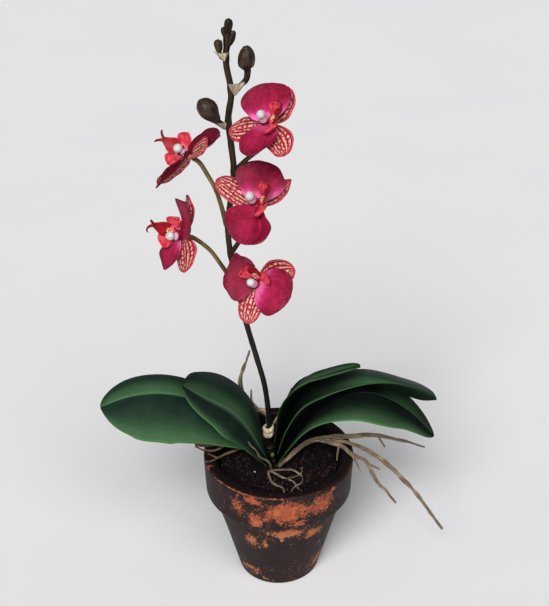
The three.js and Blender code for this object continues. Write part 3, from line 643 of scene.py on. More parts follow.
def bundle(path, radii, count, seed, tone):
    """A few thin strands twisted into one: strand k's middle is the path's, moved sideways by
    0.62 * radius * (cos(a), sin(a)) with a = 2 pi k / count + 0.16 * length + waver."""
    share = np.linspace(0, 1, 14)
    middle = smooth_path(path, share)
    length = np.linalg.norm(np.diff(middle, axis=0), axis=1).sum()
    width = eased(radii, share)
    turn = 2 * np.pi * np.arange(count)[:, None] / count + 0.16 * length * share + waver(middle, 20, seed)
    side, up, _ = basis(middle[-1] - middle[0])
    ring = np.cos(turn)[..., None] * side + np.sin(turn)[..., None] * up
    ways = middle + 0.62 * width[:, None] * ring
    thin = [0.62 * radius for radius in radii]
    twisted = {"sides": 10, "step": 0.9, "lobes": 0.1, "sway": 0.2, "tone": tone}
    return [strand(way, thin, seed=seed + k, **twisted) for k, way in enumerate(ways)]


def on_soil(points):
    """Points of the soil's top, each with a root's clearance above it."""
    return [(x, y, float(soil_height(x, y)) + SOIL_ROOT_RISE) for x, y in points]


# Each bunch is a list of strands, each with its radii along its length and the points on its way.
ROOTS = {
    "roots_right": [
        (
            [1.3, 1.25, 1.1, 0.45],
            [
                (-0.4, -4.6, 68.6), (6, -3.9, 73.8), (12.2, 0, 78.4), (17.5, 2, 79.6), (24.6, 3, 81),
                (36.3, 4, 81.4), (51.3, 3, 82.8), (61.9, 2, 81.1), (70.7, 0, 80), (77.6, -2, 78.8),
            ],
        ),
        (
            [0.96, 1.05, 0.96, 0.6],
            [
                (24.6, 2.4, 80.4), (32.6, 2, 79.8), (44.2, 0, 76.9), (51.4, -1, 72.7), (60.6, -2, 64.7),
                (69.1, -3, 55.3), (76.8, -4, 45.7), (84.6, -5, 33.3), (90.2, -6, 25.2),
            ],
        ),
        (
            [0.9, 0.95, 0.75, 0.5],
            [
                (22, 1.6, 80.2), (32.4, -2, 80.2), (39, -9, 78.9), (46.2, -11, 76.1),
                (48.9, -13, 71), (52.4, -14, 64.3), (57.9, -15, 58.3), (62.2, -16, 52.3),
            ],
        ),
        ([0.6, 0.4], [(31.8, -1.6, 80), (31.4, -3, 76), (31, -4, 71.2)]),
        ([0.6, 0.4], [(38.6, -8.8, 78.6), (41.4, -11, 74), (43.4, -12, 69.4)]),
        ([0.6, 0.4], [(46.2, -11, 75.8), (49, -12, 74.6), (53.2, -13, 72.4)]),
        ([0.6, 0.4], [(52.9, 2.8, 82.4), (54.6, 1.4, 80), (56.6, 0, 77)]),
    ],
    "roots_front": [
        (
            [0.66, 0.6, 0.4],
            on_soil([
                (-4.2, -7.6), (-5.6, -10), (-4.6, -15.3), (-1.1, -20.7), (1.5, -21.2), (2.7, -24.2),
                (2.3, -27.5),
            ]),
        ),
        (
            [0.55, 0.58, 0.36],
            on_soil([(-4.4, -8), (-1, -9.8), (3.3, -13.2), (7.5, -16.1), (10, -20.7), (12, -24.6)]),
        ),
        (
            [0.55, 0.48, 0.34],
            on_soil([
                (-3.6, -7.4), (3.3, -6.6), (8.6, -9), (12.1, -11.6), (12, -16.7), (7.4, -22.6),
                (6.2, -26.4),
            ]),
        ),
        ([0.42, 0.34], on_soil([(12.1, -5), (12.1, -9.4), (9, -12.5), (4.8, -13.9)])),
        ([0.62, 0.32], [(-4, -7.6, 68), (-4.6, -9.6, 73.6), (-11, -13, 83), (-15.9, -15, 92.3)]),
    ],
    "roots_left": [
        (
            [0.95, 0.96, 0.7],
            [
                (-8.4, 0.6, 68.6), (-14, 2.4, 72), (-22, 2.6, 76),
                (-30, 0, 79.2), (-37, -3.8, 81.2), (-44, -7, 84),
            ],
        ),
        ([0.7, 0.6, 0.4], [(-20, 1.6, 75.4), (-27, -3, 75.6), (-32, -7.4, 76.4), (-37.5, -9, 80)]),
        ([0.65, 0.55, 0.4], [(-28, 0.4, 78.6), (-34, -4.6, 78.4), (-39, -7, 80.8), (-44, -9, 84.6)]),
        ([0.5, 0.4], [(-31, -6.6, 76.2), (-35.6, -10, 75.4), (-38.6, -11.4, 76.6)]),
    ],
    "roots_back": [
        (
            [1.5, 1.4, 1.2],
            [(-6.4, 9.9, 67.2), (-5, 13.4, 79), (-6.4, 15.6, 87.4), (-10.4, 17, 89.4), (-15, 19.6, 87)],
        ),
        (
            [1.2, 1, 0.4],
            [
                (-13.6, 18.8, 88), (-18, 21.6, 92.4), (-20.2, 22, 99),
                (-20.5, 22, 107), (-18.2, 22, 115.1), (-15.4, 22, 124.4),
            ],
        ),
        ([0.9, 0.8, 0.3], [(-5, 13, 79), (0.6, 19.4, 85), (5.6, 23, 91.6), (6.8, 24, 98.9)]),
        ([0.8, 0.7, 0.3], [(-11, 17.2, 89.2), (-14.6, 21.4, 92.4), (-15, 22.6, 98.9)]),
    ],
}
# How brown each bunch is, from grey (0) to brown (1).
ROOT_BROWN = {"roots_right": 0.35, "roots_front": 0.25, "roots_left": 0.95, "roots_back": 0.0}

# Fibres: streaks that run along a piece, sampled from its place attribute, Count of them round it.
tree, recipe, given = new_group("Fibres", "Place", {"Count": 8.0, "Run": 0.12})
streak = recipe.add("ShaderNodeCombineXYZ")
scales = [given["Run"], given["Count"], given["Count"]]
for socket, number, scale in zip(streak.inputs, recipe.numbers(given["Place"]), scales):
    recipe.put(socket, recipe.times(number, scale))
fibres = close_group(tree, "Mask", recipe.step(recipe.noise(streak.outputs[0], 1.0, 3.0, 0.6), 0.32, 0.68))


def fibrous(recipe, place, count, run):
    """A mask of streaks along a piece, count of them round it."""
    return recipe.use(fibres, {"Place": place, "Count": count, "Run": run})


root_skin, recipe, shader = new_material("root", Roughness=0.85, Specular_IOR_Level=0.3)
surface = recipe.millimetres()
place = recipe.place()
streaks = fibrous(recipe, place, 3, 0.14)
grey = recipe.mix(streaks, "5e4c3a", "dccab4")
brown = recipe.mix(streaks, "4c3524", "ae9070")
skin = recipe.mix(recipe.tone(), grey, brown)
stained = blotched(recipe, surface, 5, 0.2)
recipe.put(shader["Base Color"], recipe.mix(recipe.times(stained, 0.3), skin, "5a4636"))
recipe.put(shader["Normal"], recipe.bump(streaks, 0.35, 0.9))

for node, strands in ROOTS.items():
    shells = []
    single = {"sides": 12, "step": 0.9, "lobes": 0.16, "sway": 0.3, "tone": ROOT_BROWN[node]}
    for k, (radii, path) in enumerate(strands):
        seed = 7 * k + 3
        if max(radii) >= BUNDLE_FROM:
            shells += bundle(path, radii, 3, seed, ROOT_BROWN[node])
        else:
            shells.append(strand(path, radii, seed=seed, **single))
    build(node, shells, root_skin)

# Crown: the short stem in the middle of the pot that leaves, flower spike and roots all grow from.
# It is rooted in the soil, and a fresh green nub stands at its front under the leaves' feet.
CROWN = {
    "x": -5, "y": 4.4, "radius": 3, "foot": 58, "top": 76, "scars": 0.08, "scar_rate": 2.2,
    "rounding": 1.5, "bluntness": 0.3, "rows": 40, "columns": 36, "tone": 0.15,
}
NUB = {"centre": (-3.4, -0.2, 72.2), "axis": (0.2, -0.5, 1), "radius": 1.15, "half": 2, "point": 0.5}
SWELLING = {"centre": (-3.2, -0.4, 69.2), "axis": (0.3, -1, 0.1), "radius": 1.6, "half": 3}
FRESH_TONE = 2.0


def egg(centre, axis, radius, half, rows=18, sides=24, point=0.0, tone=0.0):
    """A closed egg: rings of radius * sin(t)^(1 + point * cos(t)) at half * cos(t) along its axis, so
    that point, where it isn't 0, draws its top in."""
    t = np.pi * (1 - (np.arange(rows) + 0.5) / rows)[:, None]
    turn = 2 * np.pi * np.arange(sides) / sides
    draw_in = 1 + point * np.clip(np.cos(t), 0, 1)
    width = radius * np.sin(t) ** draw_in
    side, up, axis = basis(axis)
    centre = np.asarray(centre, float)
    rings = width[..., None] * (np.cos(turn)[None, :, None] * side + np.sin(turn)[None, :, None] * up)
    rings = centre + rings + (half * np.cos(t))[..., None] * axis
    place = np.stack(np.broadcast_arrays(0.5 + 0.5 * np.cos(t), np.cos(turn), np.sin(turn)), axis=-1)
    return shell(rings, place, tone, ends=[centre - half * axis, centre + half * axis])


def crown_shell():
    """Rings of radius * (1 + scars * sin(scar_rate * z)) round the crown's axis, which the scars of old
    leaves make uneven. Toward the two ends that shrinks as the square root of the distance left."""
    height = np.linspace(CROWN["foot"], CROWN["top"], CROWN["rows"])
    turn = 2 * np.pi * np.arange(CROWN["columns"]) / CROWN["columns"]
    blunt = CROWN["bluntness"]
    from_end = np.minimum(height - CROWN["foot"] + blunt, CROWN["top"] - height + blunt)
    ease = np.clip(from_end / CROWN["rounding"], 0, 1)
    radius = CROWN["radius"] * (1 + CROWN["scars"] * np.sin(CROWN["scar_rate"] * height)) * ease**0.5
    x = CROWN["x"] + radius[:, None] * np.cos(turn)
    y = CROWN["y"] + radius[:, None] * np.sin(turn)
    rings = np.stack([x, y, np.broadcast_to(height[:, None], x.shape)], axis=-1)
    place = np.stack(np.broadcast_arrays(height[:, None], np.cos(turn), np.sin(turn)), axis=-1)
    return shell(rings, place, CROWN["tone"])


stem_skin, recipe, shader = new_material("stem", Specular_IOR_Level=0.35)
surface = recipe.millimetres()
place = recipe.place()

# The tone is 0 on dark bark, 1 on olive bark and 2 on the fresh nub. Low down the bark is nearly black.
green = recipe.tone()
dark = recipe.mix(fibrous(recipe, place, 1.3, 0.07), "080506", "40301f")
olive = recipe.mix(fibrous(recipe, place, 1.8, 0.04), "4e3c20", "9a8850")
browned = blotched(recipe, surface, 7, 0.12)
olive = recipe.mix(recipe.times(browned, 0.6), olive, "4a3026")
fresh = recipe.mix(recipe.noise(surface, 0.6), "3e4f1c", "77873c")
skin = recipe.mix(recipe.step(green, 0, 1), dark, olive)
height = recipe.numbers(surface)[2]
skin = recipe.mix(recipe.step(height, 175, 84, 0, 0.78), skin, "080505")
recipe.put(shader["Base Color"], recipe.mix(recipe.step(green, 1.4, 1.8), skin, fresh))
recipe.put(shader["Roughness"], recipe.step(recipe.noise(surface, 1.5), 0.3, 0.7, 0.45, 0.62))
recipe.put(shader["Normal"], recipe.bump(grained(recipe, surface, 0.7), 0.08, 0.7))

crown_parts = [crown_shell(), egg(**NUB, tone=FRESH_TONE), egg(**SWELLING, tone=0.1)]
build("crown", crown_parts, stem_skin)

# Leaves: five thick, leathery, strap-shaped leaves, dark green and softly glossy, each folded a
# little along its midrib. Their narrow feet clasp the crown from both sides and hold them up.

# Each row has the points of the midrib, the half-width, the share of that at the foot (neck), the share of
# the length where the leaf is widest and how blunt the tip is. The lists run from foot to tip: a roll toward
# the front in degrees, how much of the half-width the near and far halves have, and how deep the painted
# shade on each is. The cross-section rises from the midrib by channel and falls to the edges by arch.
# Crest_highlight is how strongly a painted highlight runs along the near side of the midrib.
LEAVES = {
    "leaf_left_long": {
        "midrib": [
            (-9.7, 2.6, 69.5), (-22, 3, 85), (-34, 4, 97), (-47, 5, 105),
            (-59, 5, 108), (-70, 4.3, 108.3), (-81, 2.6, 106.8), (-92.6, 0, 103),
        ],
        "half_width": 21.5, "neck": 0.14, "widest": 0.62, "roll": [0, 18, 22, 22, 18],
        "near": [1, 1.02, 1.09, 1.1, 1.15], "far": [1, 0.9, 0.86, 0.9, 1.1], "blunt": 3,
        "painted_shade_near": [0.6, 0.3, 0, 0, 0], "painted_shade_far": [0.5, 0.45, 0.42, 0.42, 0.42], "crest_highlight": 0,
        "channel": [1.2, 0.75, 0.7, 0.65, 0.5], "arch": [0.5, 1.05, 1.15, 1.05, 0.9],
    },
    "leaf_left_short": {
        "midrib": [
            (-5.8, -3.4, 69), (-10.3, -3.8, 80.5), (-17.8, -3.4, 95.2), (-25.4, -2, 103),
            (-37, 0, 108.6), (-46, 2, 112.8), (-49.9, 2, 115.2),
        ],
        "half_width": 16.5, "neck": 0.16, "widest": 0.62, "roll": [10, 37, 38, 32, 22],
        "near": [1, 0.8, 0.84, 0.66, 0.5], "far": [1.7, 1.04, 0.88, 1.08, 1.4], "blunt": 2.4,
        "painted_shade_near": [0.8, 0.7, 0.65, 0.65, 0.65], "painted_shade_far": [0.8, 0.7, 0.6, 0.6, 0.6], "crest_highlight": 0.8,
        "channel": [0.4, 0.4, 0.55, 0.6, 0.6], "arch": [0.5, 0.75, 0.7, 0.66, 0.66],
    },
    "leaf_right_front": {
        "midrib": [
            (-0.4, -3.4, 69), (8.4, -5.5, 86), (18.5, -6.5, 101.5), (29.5, -7, 112), (39, -7, 116.2),
            (48, -6.8, 116.4), (57, -7, 112.8), (65.4, -7.2, 107), (73, -8.2, 99.8), (80, -10, 92.1),
        ],
        "half_width": 16.5, "neck": 0.18, "widest": 0.55, "roll": [0, -4, 2, 12, 12],
        "near": [1, 0.82, 0.72, 0.82, 1.04, 1.13, 1.03, 0.84, 0.74],
        "far": [1.6, 1.5, 1.5, 0.9, 0.42, 0.6, 1.1, 1.35, 1.4], "blunt": 1.9,
        "painted_shade_near": [0.8, 0.75, 0.72, 0.75, 0.8], "painted_shade_far": [1.3, 1.3, 1.3, 0.7, 0.65], "crest_highlight": 0,
        "channel": [0.7, 0.7, 0.55, 0.45, 0.3], "arch": [0.3, 0.45, 0.6, 0.65, 0.5],
    },
    "leaf_right_long": {
        "midrib": [
            (0.6, 3.8, 70), (5.4, 2.5, 88), (13, 1.5, 102), (24.5, 0.5, 110), (37, 0, 115.4),
            (47, 0, 117), (56, 0, 115.4), (65, 0, 111.8), (75, 0, 108.4), (81.7, 0, 108.6),
        ],
        "half_width": 13.5, "neck": 0.26, "widest": 0.42, "roll": [0, -7, -17, -21, -18],
        "near": [1, 0.5, 0.2, 0.1, 0.12, 0.4, 0.9, 1, 0.95], "far": [1, 1.75, 1.58, 0.97, 1], "blunt": 2.6,
        "painted_shade_near": [0.8, 0.7, 0.4, 0.3, 0.3], "painted_shade_far": [1, 0.9, 0.65, 0.15, 0.4], "crest_highlight": 0.8,
        "channel": [0.8, 0.7, 0.55, 0.85, 1.3], "arch": [0.2, 0.28, 0.28, 0.25, 0.1],
    },
    "leaf_right_back": {
        "midrib": [
            (-1.8, 10.2, 74), (1.8, 9.2, 89), (6.4, 8, 102), (11.5, 7.2, 109.8),
            (17.5, 6.8, 115.3), (25, 6.6, 118.8), (33.5, 6.5, 122), (42, 5.8, 125),
        ],
        "half_width": 11.5, "neck": 0.22, "widest": 0.55, "roll": [0, -16, -22, -22, -18],
        "near": [1, 1, 1, 1, 1], "far": [1, 0.7, 0.9, 1.1, 1.1], "blunt": 2.4,
        "painted_shade_near": [0.8, 0.7, 0.7, 0.75, 0.8], "painted_shade_far": [0.9, 0.6, 0.35, 0.35, 0.4], "crest_highlight": 0,
        "channel": [0.5, 0.5, 0.5, 0.45, 0.4], "arch": [0.2, 0.2, 0.24, 0.28, 0.24],
    },
}
LEAF = {
    "rows": 110, "columns": 40, "rib_thickness": 1.5, "edge_thickness": 0.75,
    "rib_softness": 0.02, "ripple": 0.02,
}


def blade(surface, rows, columns, thickness, tone):
    """A thin closed blade round a mid-surface(u, v). Rings lie at u = (1 - cos) / 2 from foot to tip;
    round a ring v = cos(a), and each point stands off the mid-surface along its normal by
    thickness(u, v) / 2 * sqrt(1 - v^8), on the front for the first half turn and on the back after."""
    step = 1e-3
    turn = np.pi * np.arange(2 * columns) / columns
    u = 0.5 - 0.5 * np.cos(np.pi * (np.arange(rows) + 0.5) / rows)
    u, v = np.broadcast_arrays(u[:, None], np.cos(turn)[None])
    front = np.sign(np.round(np.sin(turn), 9))
    inner_u = np.clip(u, step, 1 - step)
    inner_v = np.clip(v, step - 1, 1 - step)
    du = surface(inner_u + step, inner_v) - surface(inner_u - step, inner_v)
    dv = surface(inner_u, inner_v + step) - surface(inner_u, inner_v - step)
    normal = np.cross(du, dv)
    normal /= np.maximum(np.linalg.norm(normal, axis=-1, keepdims=True), 1e-12)
    off = thickness(u, v) / 2 * np.sqrt(np.clip(1 - v**8, 0, 1)) * front
    tips = [surface(np.array([[end]]), np.array([[0.0]])).reshape(3) for end in (0.0, 1.0)]
    place = np.stack(np.broadcast_arrays(u, v, np.sin(turn)), axis=-1)
    rings = surface(u, v) + off[..., None] * normal
    return shell(rings, place, tone(u, v), ends=tips)


def leaf_width(leaf, u, v):
    """half-width * (neck + (1 - neck) * sin^1.3) up to its widest place, and past that a quarter of an
    oval, sqrt(1 - past^blunt), down to its tip; each half has its own share of that, and the shares
    blend over the midrib as tanh(6 v)."""
    rise = np.sin(np.pi / 2 * np.clip(u / leaf["widest"], 0, 1))
    past = np.clip((u - leaf["widest"]) / (1 - leaf["widest"]), 0, 1)
    growing = leaf["neck"] + (1 - leaf["neck"]) * rise**1.3
    near = 0.5 + 0.5 * np.tanh(6 * v)
    share = near * eased(leaf["near"], u) + (1 - near) * eased(leaf["far"], u)
    shape = np.where(past > 0, np.sqrt(np.clip(1 - past ** leaf["blunt"], 0.0004, 1)), growing)
    return leaf["half_width"] * share * shape


def leaf_axes(leaf, along):
    """The across and rise directions at each place along the midrib. Across points to the front and
    rise out of the upper side, or back over the crown where the leaf stands steep; the roll turns
    both round the midrib."""
    ahead = smooth_path(leaf["midrib"], np.clip(along + 5e-4, 0, 1))
    behind = smooth_path(leaf["midrib"], np.clip(along - 5e-4, 0, 1))
    tangent = ahead - behind
    tangent /= np.linalg.norm(tangent, axis=1, keepdims=True)
    near = np.array([0, -1.0, 0]) - tangent * -tangent[:, 1:2]
    near /= np.linalg.norm(near, axis=1, keepdims=True)
    up = np.cross(tangent, near)
    steep = np.abs(up[:, 2]) < 0.3
    wrong = (up[:, 2] < 0) | (steep & (up[:, 0] * tangent[:, 0] > 0))
    up = np.where(wrong[:, None], -up, up)
    roll = np.radians(eased(leaf["roll"], along))[:, None]
    return near * np.cos(roll) - up * np.sin(roll), up * np.cos(roll) + near * np.sin(roll)


def leaf_surface(leaf):
    """midrib(u) + half * (v / sqrt(1 + 0.4 lift^2)) * across + half * lift * rise, where
    lift = channel * (sqrt(v^2 + soft) - sqrt(soft)) - arch * v^2, and a ripple of
    ripple * sin(9 u + 3 v) * v^4 * sin(pi u) runs along the edges."""

    def surface(u, v):
        along = u[:, 0]
        across, rise = leaf_axes(leaf, along)
        soft = LEAF["rib_softness"]
        fold = np.sqrt(v * v + soft) - soft**0.5
        lift = eased(leaf["channel"], u) * fold - eased(leaf["arch"], u) * v * v
        lift = lift + LEAF["ripple"] * np.sin(9 * u + 3 * v) * v**4 * np.sin(np.pi * u)
        half = leaf_width(leaf, u, v)
        side = half * v / np.sqrt(1 + 0.4 * lift**2)
        middle = smooth_path(leaf["midrib"], along)[:, None]
        return middle + side[..., None] * across[:, None] + (half * lift)[..., None] * rise[:, None]

    return surface


def leaf_painted_shade(leaf):
    """Painted shade: painted_shade_near(u) where v is above 0, on the near half, and else
    painted_shade_far(u).
    """
    return lambda u, v: np.where(v > 0, eased(leaf["painted_shade_near"], u), eased(leaf["painted_shade_far"], u))


def leaf_thickness(u, v):
    """Thick at the midrib and thinner toward the edges."""
    return LEAF["rib_thickness"] + (LEAF["edge_thickness"] - LEAF["rib_thickness"]) * np.abs(v)


leaf_skin, recipe, shader = new_material("leaf", Specular_IOR_Level=0.06)
surface = recipe.millimetres()
place = recipe.place()
along, across, facing = recipe.numbers(place)
deep = recipe.tone()
cloudy = blotched(recipe, surface, 14, 0.25)
fine = blotched(recipe, surface, 1.1, 0.3)

# The painted shade of the fold and the green of the blade, both darker where the painted shade is deep.
shaded_green = recipe.mix(recipe.step(deep, 0.3, 1), recipe.mix(cloudy, "1c2e26", "283e31"), "040507")
bright = recipe.mix(cloudy, "426542", "506f4e")
bright = recipe.mix(recipe.times(fine, 0.25), bright, "668c64")
half_share = recipe.step(across, -0.02, 0.02, 1, 0.35)
green = recipe.mix(recipe.times(recipe.step(deep, 0.2, 0.95), half_share), bright, "070c09")

# Painted light and shade across each half, by how far it turns from painted shade to green: the near half
# grows lighter toward its edge, the far half toward the midrib.
crest_highlight = recipe.maths("MAXIMUM", recipe.maths("SUBTRACT", recipe.maths("ABSOLUTE", facing), 1), 0)
near_power = recipe.maths("MULTIPLY_ADD", crest_highlight, 6, 3.2)
near_half = recipe.maths("POWER", recipe.step(across, 0.1, 1.02), near_power)
far_power = recipe.maths("MULTIPLY_ADD", deep, 3.5, 1.2)
far_half = recipe.maths("POWER", recipe.step(across, -0.95, -0.03), far_power)
lit = recipe.mix(recipe.step(across, -0.015, 0.015), far_half, near_half)
lit = recipe.times(lit, recipe.step(along, 0.02, 0.42, 0.3, 1))
flesh = recipe.mix(lit, shaded_green, green)

# The far edge, with a painted grey sheen where the painted shade is light and painted dark shade where it
# is deep, a painted highlight beside the midrib, the midrib, the near margin, and painted shade underneath.
# Painted sheen and shade on the far edge.
far_edge_sheen_and_shade = recipe.mix(recipe.times(deep, 1.2), "74797c", "14151c")
flesh = recipe.mix(recipe.step(across, -0.45, -1, 0, 0.7), flesh, far_edge_sheen_and_shade)
# Painted highlight: a pale band along the near side of the midrib.
crest_highlight_mask = recipe.times(crest_highlight, recipe.step(across, 0.28, 0))
crest_highlight_mask = recipe.times(crest_highlight_mask, recipe.step(across, -0.02, 0.01))
flesh = recipe.mix(crest_highlight_mask, flesh, "4a6650")
rib = recipe.step(recipe.maths("ABSOLUTE", across), 0.05, 0.012)
rib = recipe.times(rib, recipe.step(along, 0.3, 0.9, 0.18, 0.55))
rib = recipe.times(rib, recipe.maths("MULTIPLY_ADD", deep, -0.6, 1))
flesh = recipe.mix(rib, flesh, recipe.mix(deep, "5f8a60", "5a6054"))
margin = recipe.times(recipe.step(across, 0.93, 0.985), recipe.step(along, 0.99, 0.9))
margin = recipe.times(margin, recipe.step(deep, 1.3, 1.0, 0, 0.75))
flesh = recipe.mix(margin, flesh, "548552")
# Painted shade on the underside.
under = recipe.step(facing, 0.05, -0.05)
recipe.put(shader["Base Color"], recipe.mix(recipe.times(under, 0.6), flesh, "121c15"))
recipe.put(shader["Roughness"], recipe.step(near_half, 0.2, 1, 0.6, 0.42))
lines = fibrous(recipe, place, 16, 2)
relief = recipe.maths("MULTIPLY_ADD", grained(recipe, surface, 0.7), 1.2, lines)
recipe.put(shader["Normal"], recipe.bump(relief, 0.09, 0.7))

# The third number of a leaf's place is 1 + crest_highlight on its upper side and less than 0 on its
# underside.
for node, leaf in LEAVES.items():
    body = blade(leaf_surface(leaf), LEAF["rows"], LEAF["columns"], leaf_thickness, leaf_painted_shade(leaf))
    to_left = np.sign(leaf["midrib"][0][0] - leaf["midrib"][-1][0])
    front = np.sign(np.round(body["place"][:, 2], 6))
    body["place"][:, 2] = to_left * front * (1 + leaf["crest_highlight"])
    build(node, [body], leaf_skin)

# Flower spike: one wiry dark stem that rises in a slow S from the crown, with a short curved stalk
# at each joint for a bloom or a bud, and a cluster of unopened buds at its end. All of it is one growth.
STEM = [
    (-5.7, 4, 76.35), (-5.1, 3.5, 91), (-7.2, 2.5, 114), (-11.2, 1.5, 133), (-14.8, 0.5, 148),
    (-19, 0, 168), (-22, 0, 185), (-24.2, 0, 205), (-22.3, 0, 225), (-20.8, 0, 237), (-21.9, 0, 251),
    (-22.9, 0, 262), (-21.2, 0, 275), (-23.2, 0, 288), (-23, 0, 296),
]
STEM_RADII = [1.5, 1.35, 1.4, 1.35, 1.4, 1.45, 1.5, 1.35]
PEDICEL_RADII = [1.3, 1.05, 1.0, 1.1]
# Each bloom: its centre, the way it faces, the way its dorsal sepal points, its size, how far its lip is
# turned down, its column's lean and reach, how green its stalk is, how each petal's foot glows pink (below
# 0, painted shade that darkens the whole petal instead) and, on one bloom, the fold in its last petal. Each
# sepal and petal has its angle (counterclockwise from the bloom's right-hand side), its forward tilt, its
# twist, the share of the usual length that it has, and the shares of the usual width of its left and right
# sides from foot to tip.
BLOOMS = {
    "bloom_top": {
        "centre": (-5.4, -14, 265.9), "face": (-0.32, -0.5, 0.81), "dorsal": (-0.93, 0.32, -0.17),
        "size": 1.09, "lip_turn": 22, "lean": 2, "reach": 6.3, "olive": 0.5, "glow": [1, 0.3],
        "sepals": [
            (94, -5, 0, 1, [1, 1, 1.05, 1.12, 1.1], [1, 1, 1.08, 1.1, 1]),
            (-16, 0, 0, 1.12, [0.8, 0.8, 0.8, 0.8, 0.8], [1.4, 1.4, 1.25, 1.15, 1]),
            (-145, -4, 0, 1, [1, 1.1, 1.15, 1.15, 1], [1, 1, 0.85, 0.78, 0.9]),
        ],
        "petals": [
            (9, 6, 0, 1.11, [0.8, 0.85, 1.03, 1.02, 1], [1, 0.98, 1.02, 1.05, 1.15]),
            (168, 7, 0, 1.04, [0.8, 0.82, 0.72, 0.6, 0.6], [0.6, 0.58, 0.66, 0.68, 0.75]),
        ],
        "pedicel": [(-20.8, 0, 236.5), (-15, -2, 243.5), (-6, -6.5, 253)],
    },
    "bloom_middle": {
        "centre": (-10.5, -15.5, 227.8), "face": (-0.08, -0.59, 0.8), "dorsal": (-0.99, 0.15, 0.01),
        "size": 1.18, "lip_turn": 0, "lean": 17, "reach": 6, "olive": 0.5, "glow": [0.85, 0],
        "fold": {"at": 0.42, "deep": 3.2},
        "sepals": [
            (61, 3, 0, 1.11, [1, 0.9, 0.84, 0.83, 0.9], [1, 1, 0.95, 0.97, 1]),
            (-44, -2, 0, 1, [0.7, 0.7, 0.7, 0.6, 0.3], [0.8, 0.8, 0.78, 0.7, 0.35]),
            (-170, -8, 0, 0.7, [0.6, 0.6, 0.6, 0.6, 0.6], [0.7, 0.7, 0.7, 0.7, 0.7]),
        ],
        "petals": [
            (-1, 6, 0, 1.05, [0.7, 0.72, 0.85, 0.95, 1], [1, 1.02, 0.97, 0.92, 0.95]),
            (177, 5, 0, 1.13, [0.4, 0.5, 0.76, 0.84, 0.95], [1.1, 1.13, 0.95, 0.82, 0.85]),
        ],
        "pedicel": [(-23.3, 0, 193.5), (-18.5, -2, 202), (-12, -6, 213)],
    },
    "bloom_low": {
        "centre": (-10.6, -14, 184.7), "face": (-0.34, -0.68, 0.65), "dorsal": (-0.31, -0.57, -0.76),
        "size": 1.1, "lip_turn": 0, "lean": 6, "reach": 6.3, "olive": 0.4, "glow": [-0.2, 0.6],
        "sepals": [
            (92, -4, 0, 1, [1, 1, 0.95, 0.85, 0.8], [1, 1.05, 1.12, 1.12, 1.1]),
            (-20, -6, 0, 0.85, [0.9, 0.9, 0.9, 0.9, 0.9], [0.9, 0.9, 0.9, 0.9, 0.9]),
            (-142, -5, 0, 1.02, [1.3, 1.4, 1.45, 1.4, 1.3], [0.8, 0.8, 0.8, 0.8, 0.9]),
        ],
        "petals": [
            (-1, 4, 0, 0.91, [0.95, 0.98, 0.87, 0.72, 0.85], [0.86, 0.88, 0.95, 1.1, 1.8]),
            (178, 6, 0, 1.07, [0.9, 0.89, 0.89, 0.9, 0.97], [1.06, 1.06, 1.12, 1.09, 1.02]),
        ],
        "pedicel": [(-17.8, 0, 161), (-10, -3, 168), (-6, -7, 176)],
    },
    "bloom_left_top": {
        "centre": (-41.5, -6, 247.8), "face": (-0.82, 0.03, 0.58), "dorsal": (0.2, -0.92, 0.33),
        "size": 1.15, "lip_turn": 0, "lean": 18, "reach": 4.9, "olive": 1, "glow": [-0.8, -0.8],
        "sepals": [
            (119, -5, 22, 0.88, [0.65, 0.7, 0.75, 0.85, 0.95], [0.45, 0.45, 0.5, 0.55, 0.7]),
            (-14, 14, 38, 0.98, [1.1, 1.1, 1.1, 1, 0.9], [0.9, 0.9, 0.9, 0.9, 0.9]),
            (-146, -24, 0, 1, [1, 1, 1, 1, 1], [1, 1, 1, 1, 1]),
        ],
        "petals": [
            (14, 11, -9, 1.1, [0.5, 0.55, 0.6, 0.5, 0.4], [0.5, 0.5, 0.45, 0.35, 0.3]),
            (152, -16, 26, 1, [0.42, 0.46, 0.46, 0.43, 0.5], [0.3, 0.36, 0.42, 0.45, 0.5]),
        ],
        "pedicel": [(-24.6, 0, 208), (-27.1, -2, 220.6), (-29.6, -3.5, 229.9), (-32.6, -5, 237)],
    },
    "bloom_left_low": {
        "centre": (-46.2, -6, 206.4), "face": (-0.78, -0.51, 0.37), "dorsal": (0.45, -0.86, -0.25),
        "size": 1.17, "lip_turn": 0, "lean": 8, "reach": 5.6, "olive": 1, "glow": [0.5, -0.15],
        "sepals": [
            (56, 4, 0, 0.88, [1, 1.3, 1.38, 1.3, 1.1], [0.9, 1, 1, 1, 0.7]),
            (-35, -4, 0, 0.9, [0.9, 0.9, 0.9, 0.9, 0.9], [0.9, 0.9, 0.9, 0.9, 0.9]),
            (-138, -4, 0, 0.98, [0.4, 0.4, 0.35, 0.1, 0.05], [0.8, 0.95, 1.05, 0.85, 0.35]),
        ],
        "petals": [
            (10, 6, 0, 0.93, [0.5, 0.5, 0.5, 0.42, 0.3], [0.6, 0.6, 0.66, 0.7, 0.6]),
            (181, 16, 0, 0.98, [0.2, 0.05, 0.25, 0.9, 0.25], [0.78, 0.78, 0.82, 0.76, 0.35]),
        ],
        "pedicel": [(-21.2, 0, 176), (-27.2, -2, 187.7), (-33.5, -3, 198)],
    },
}
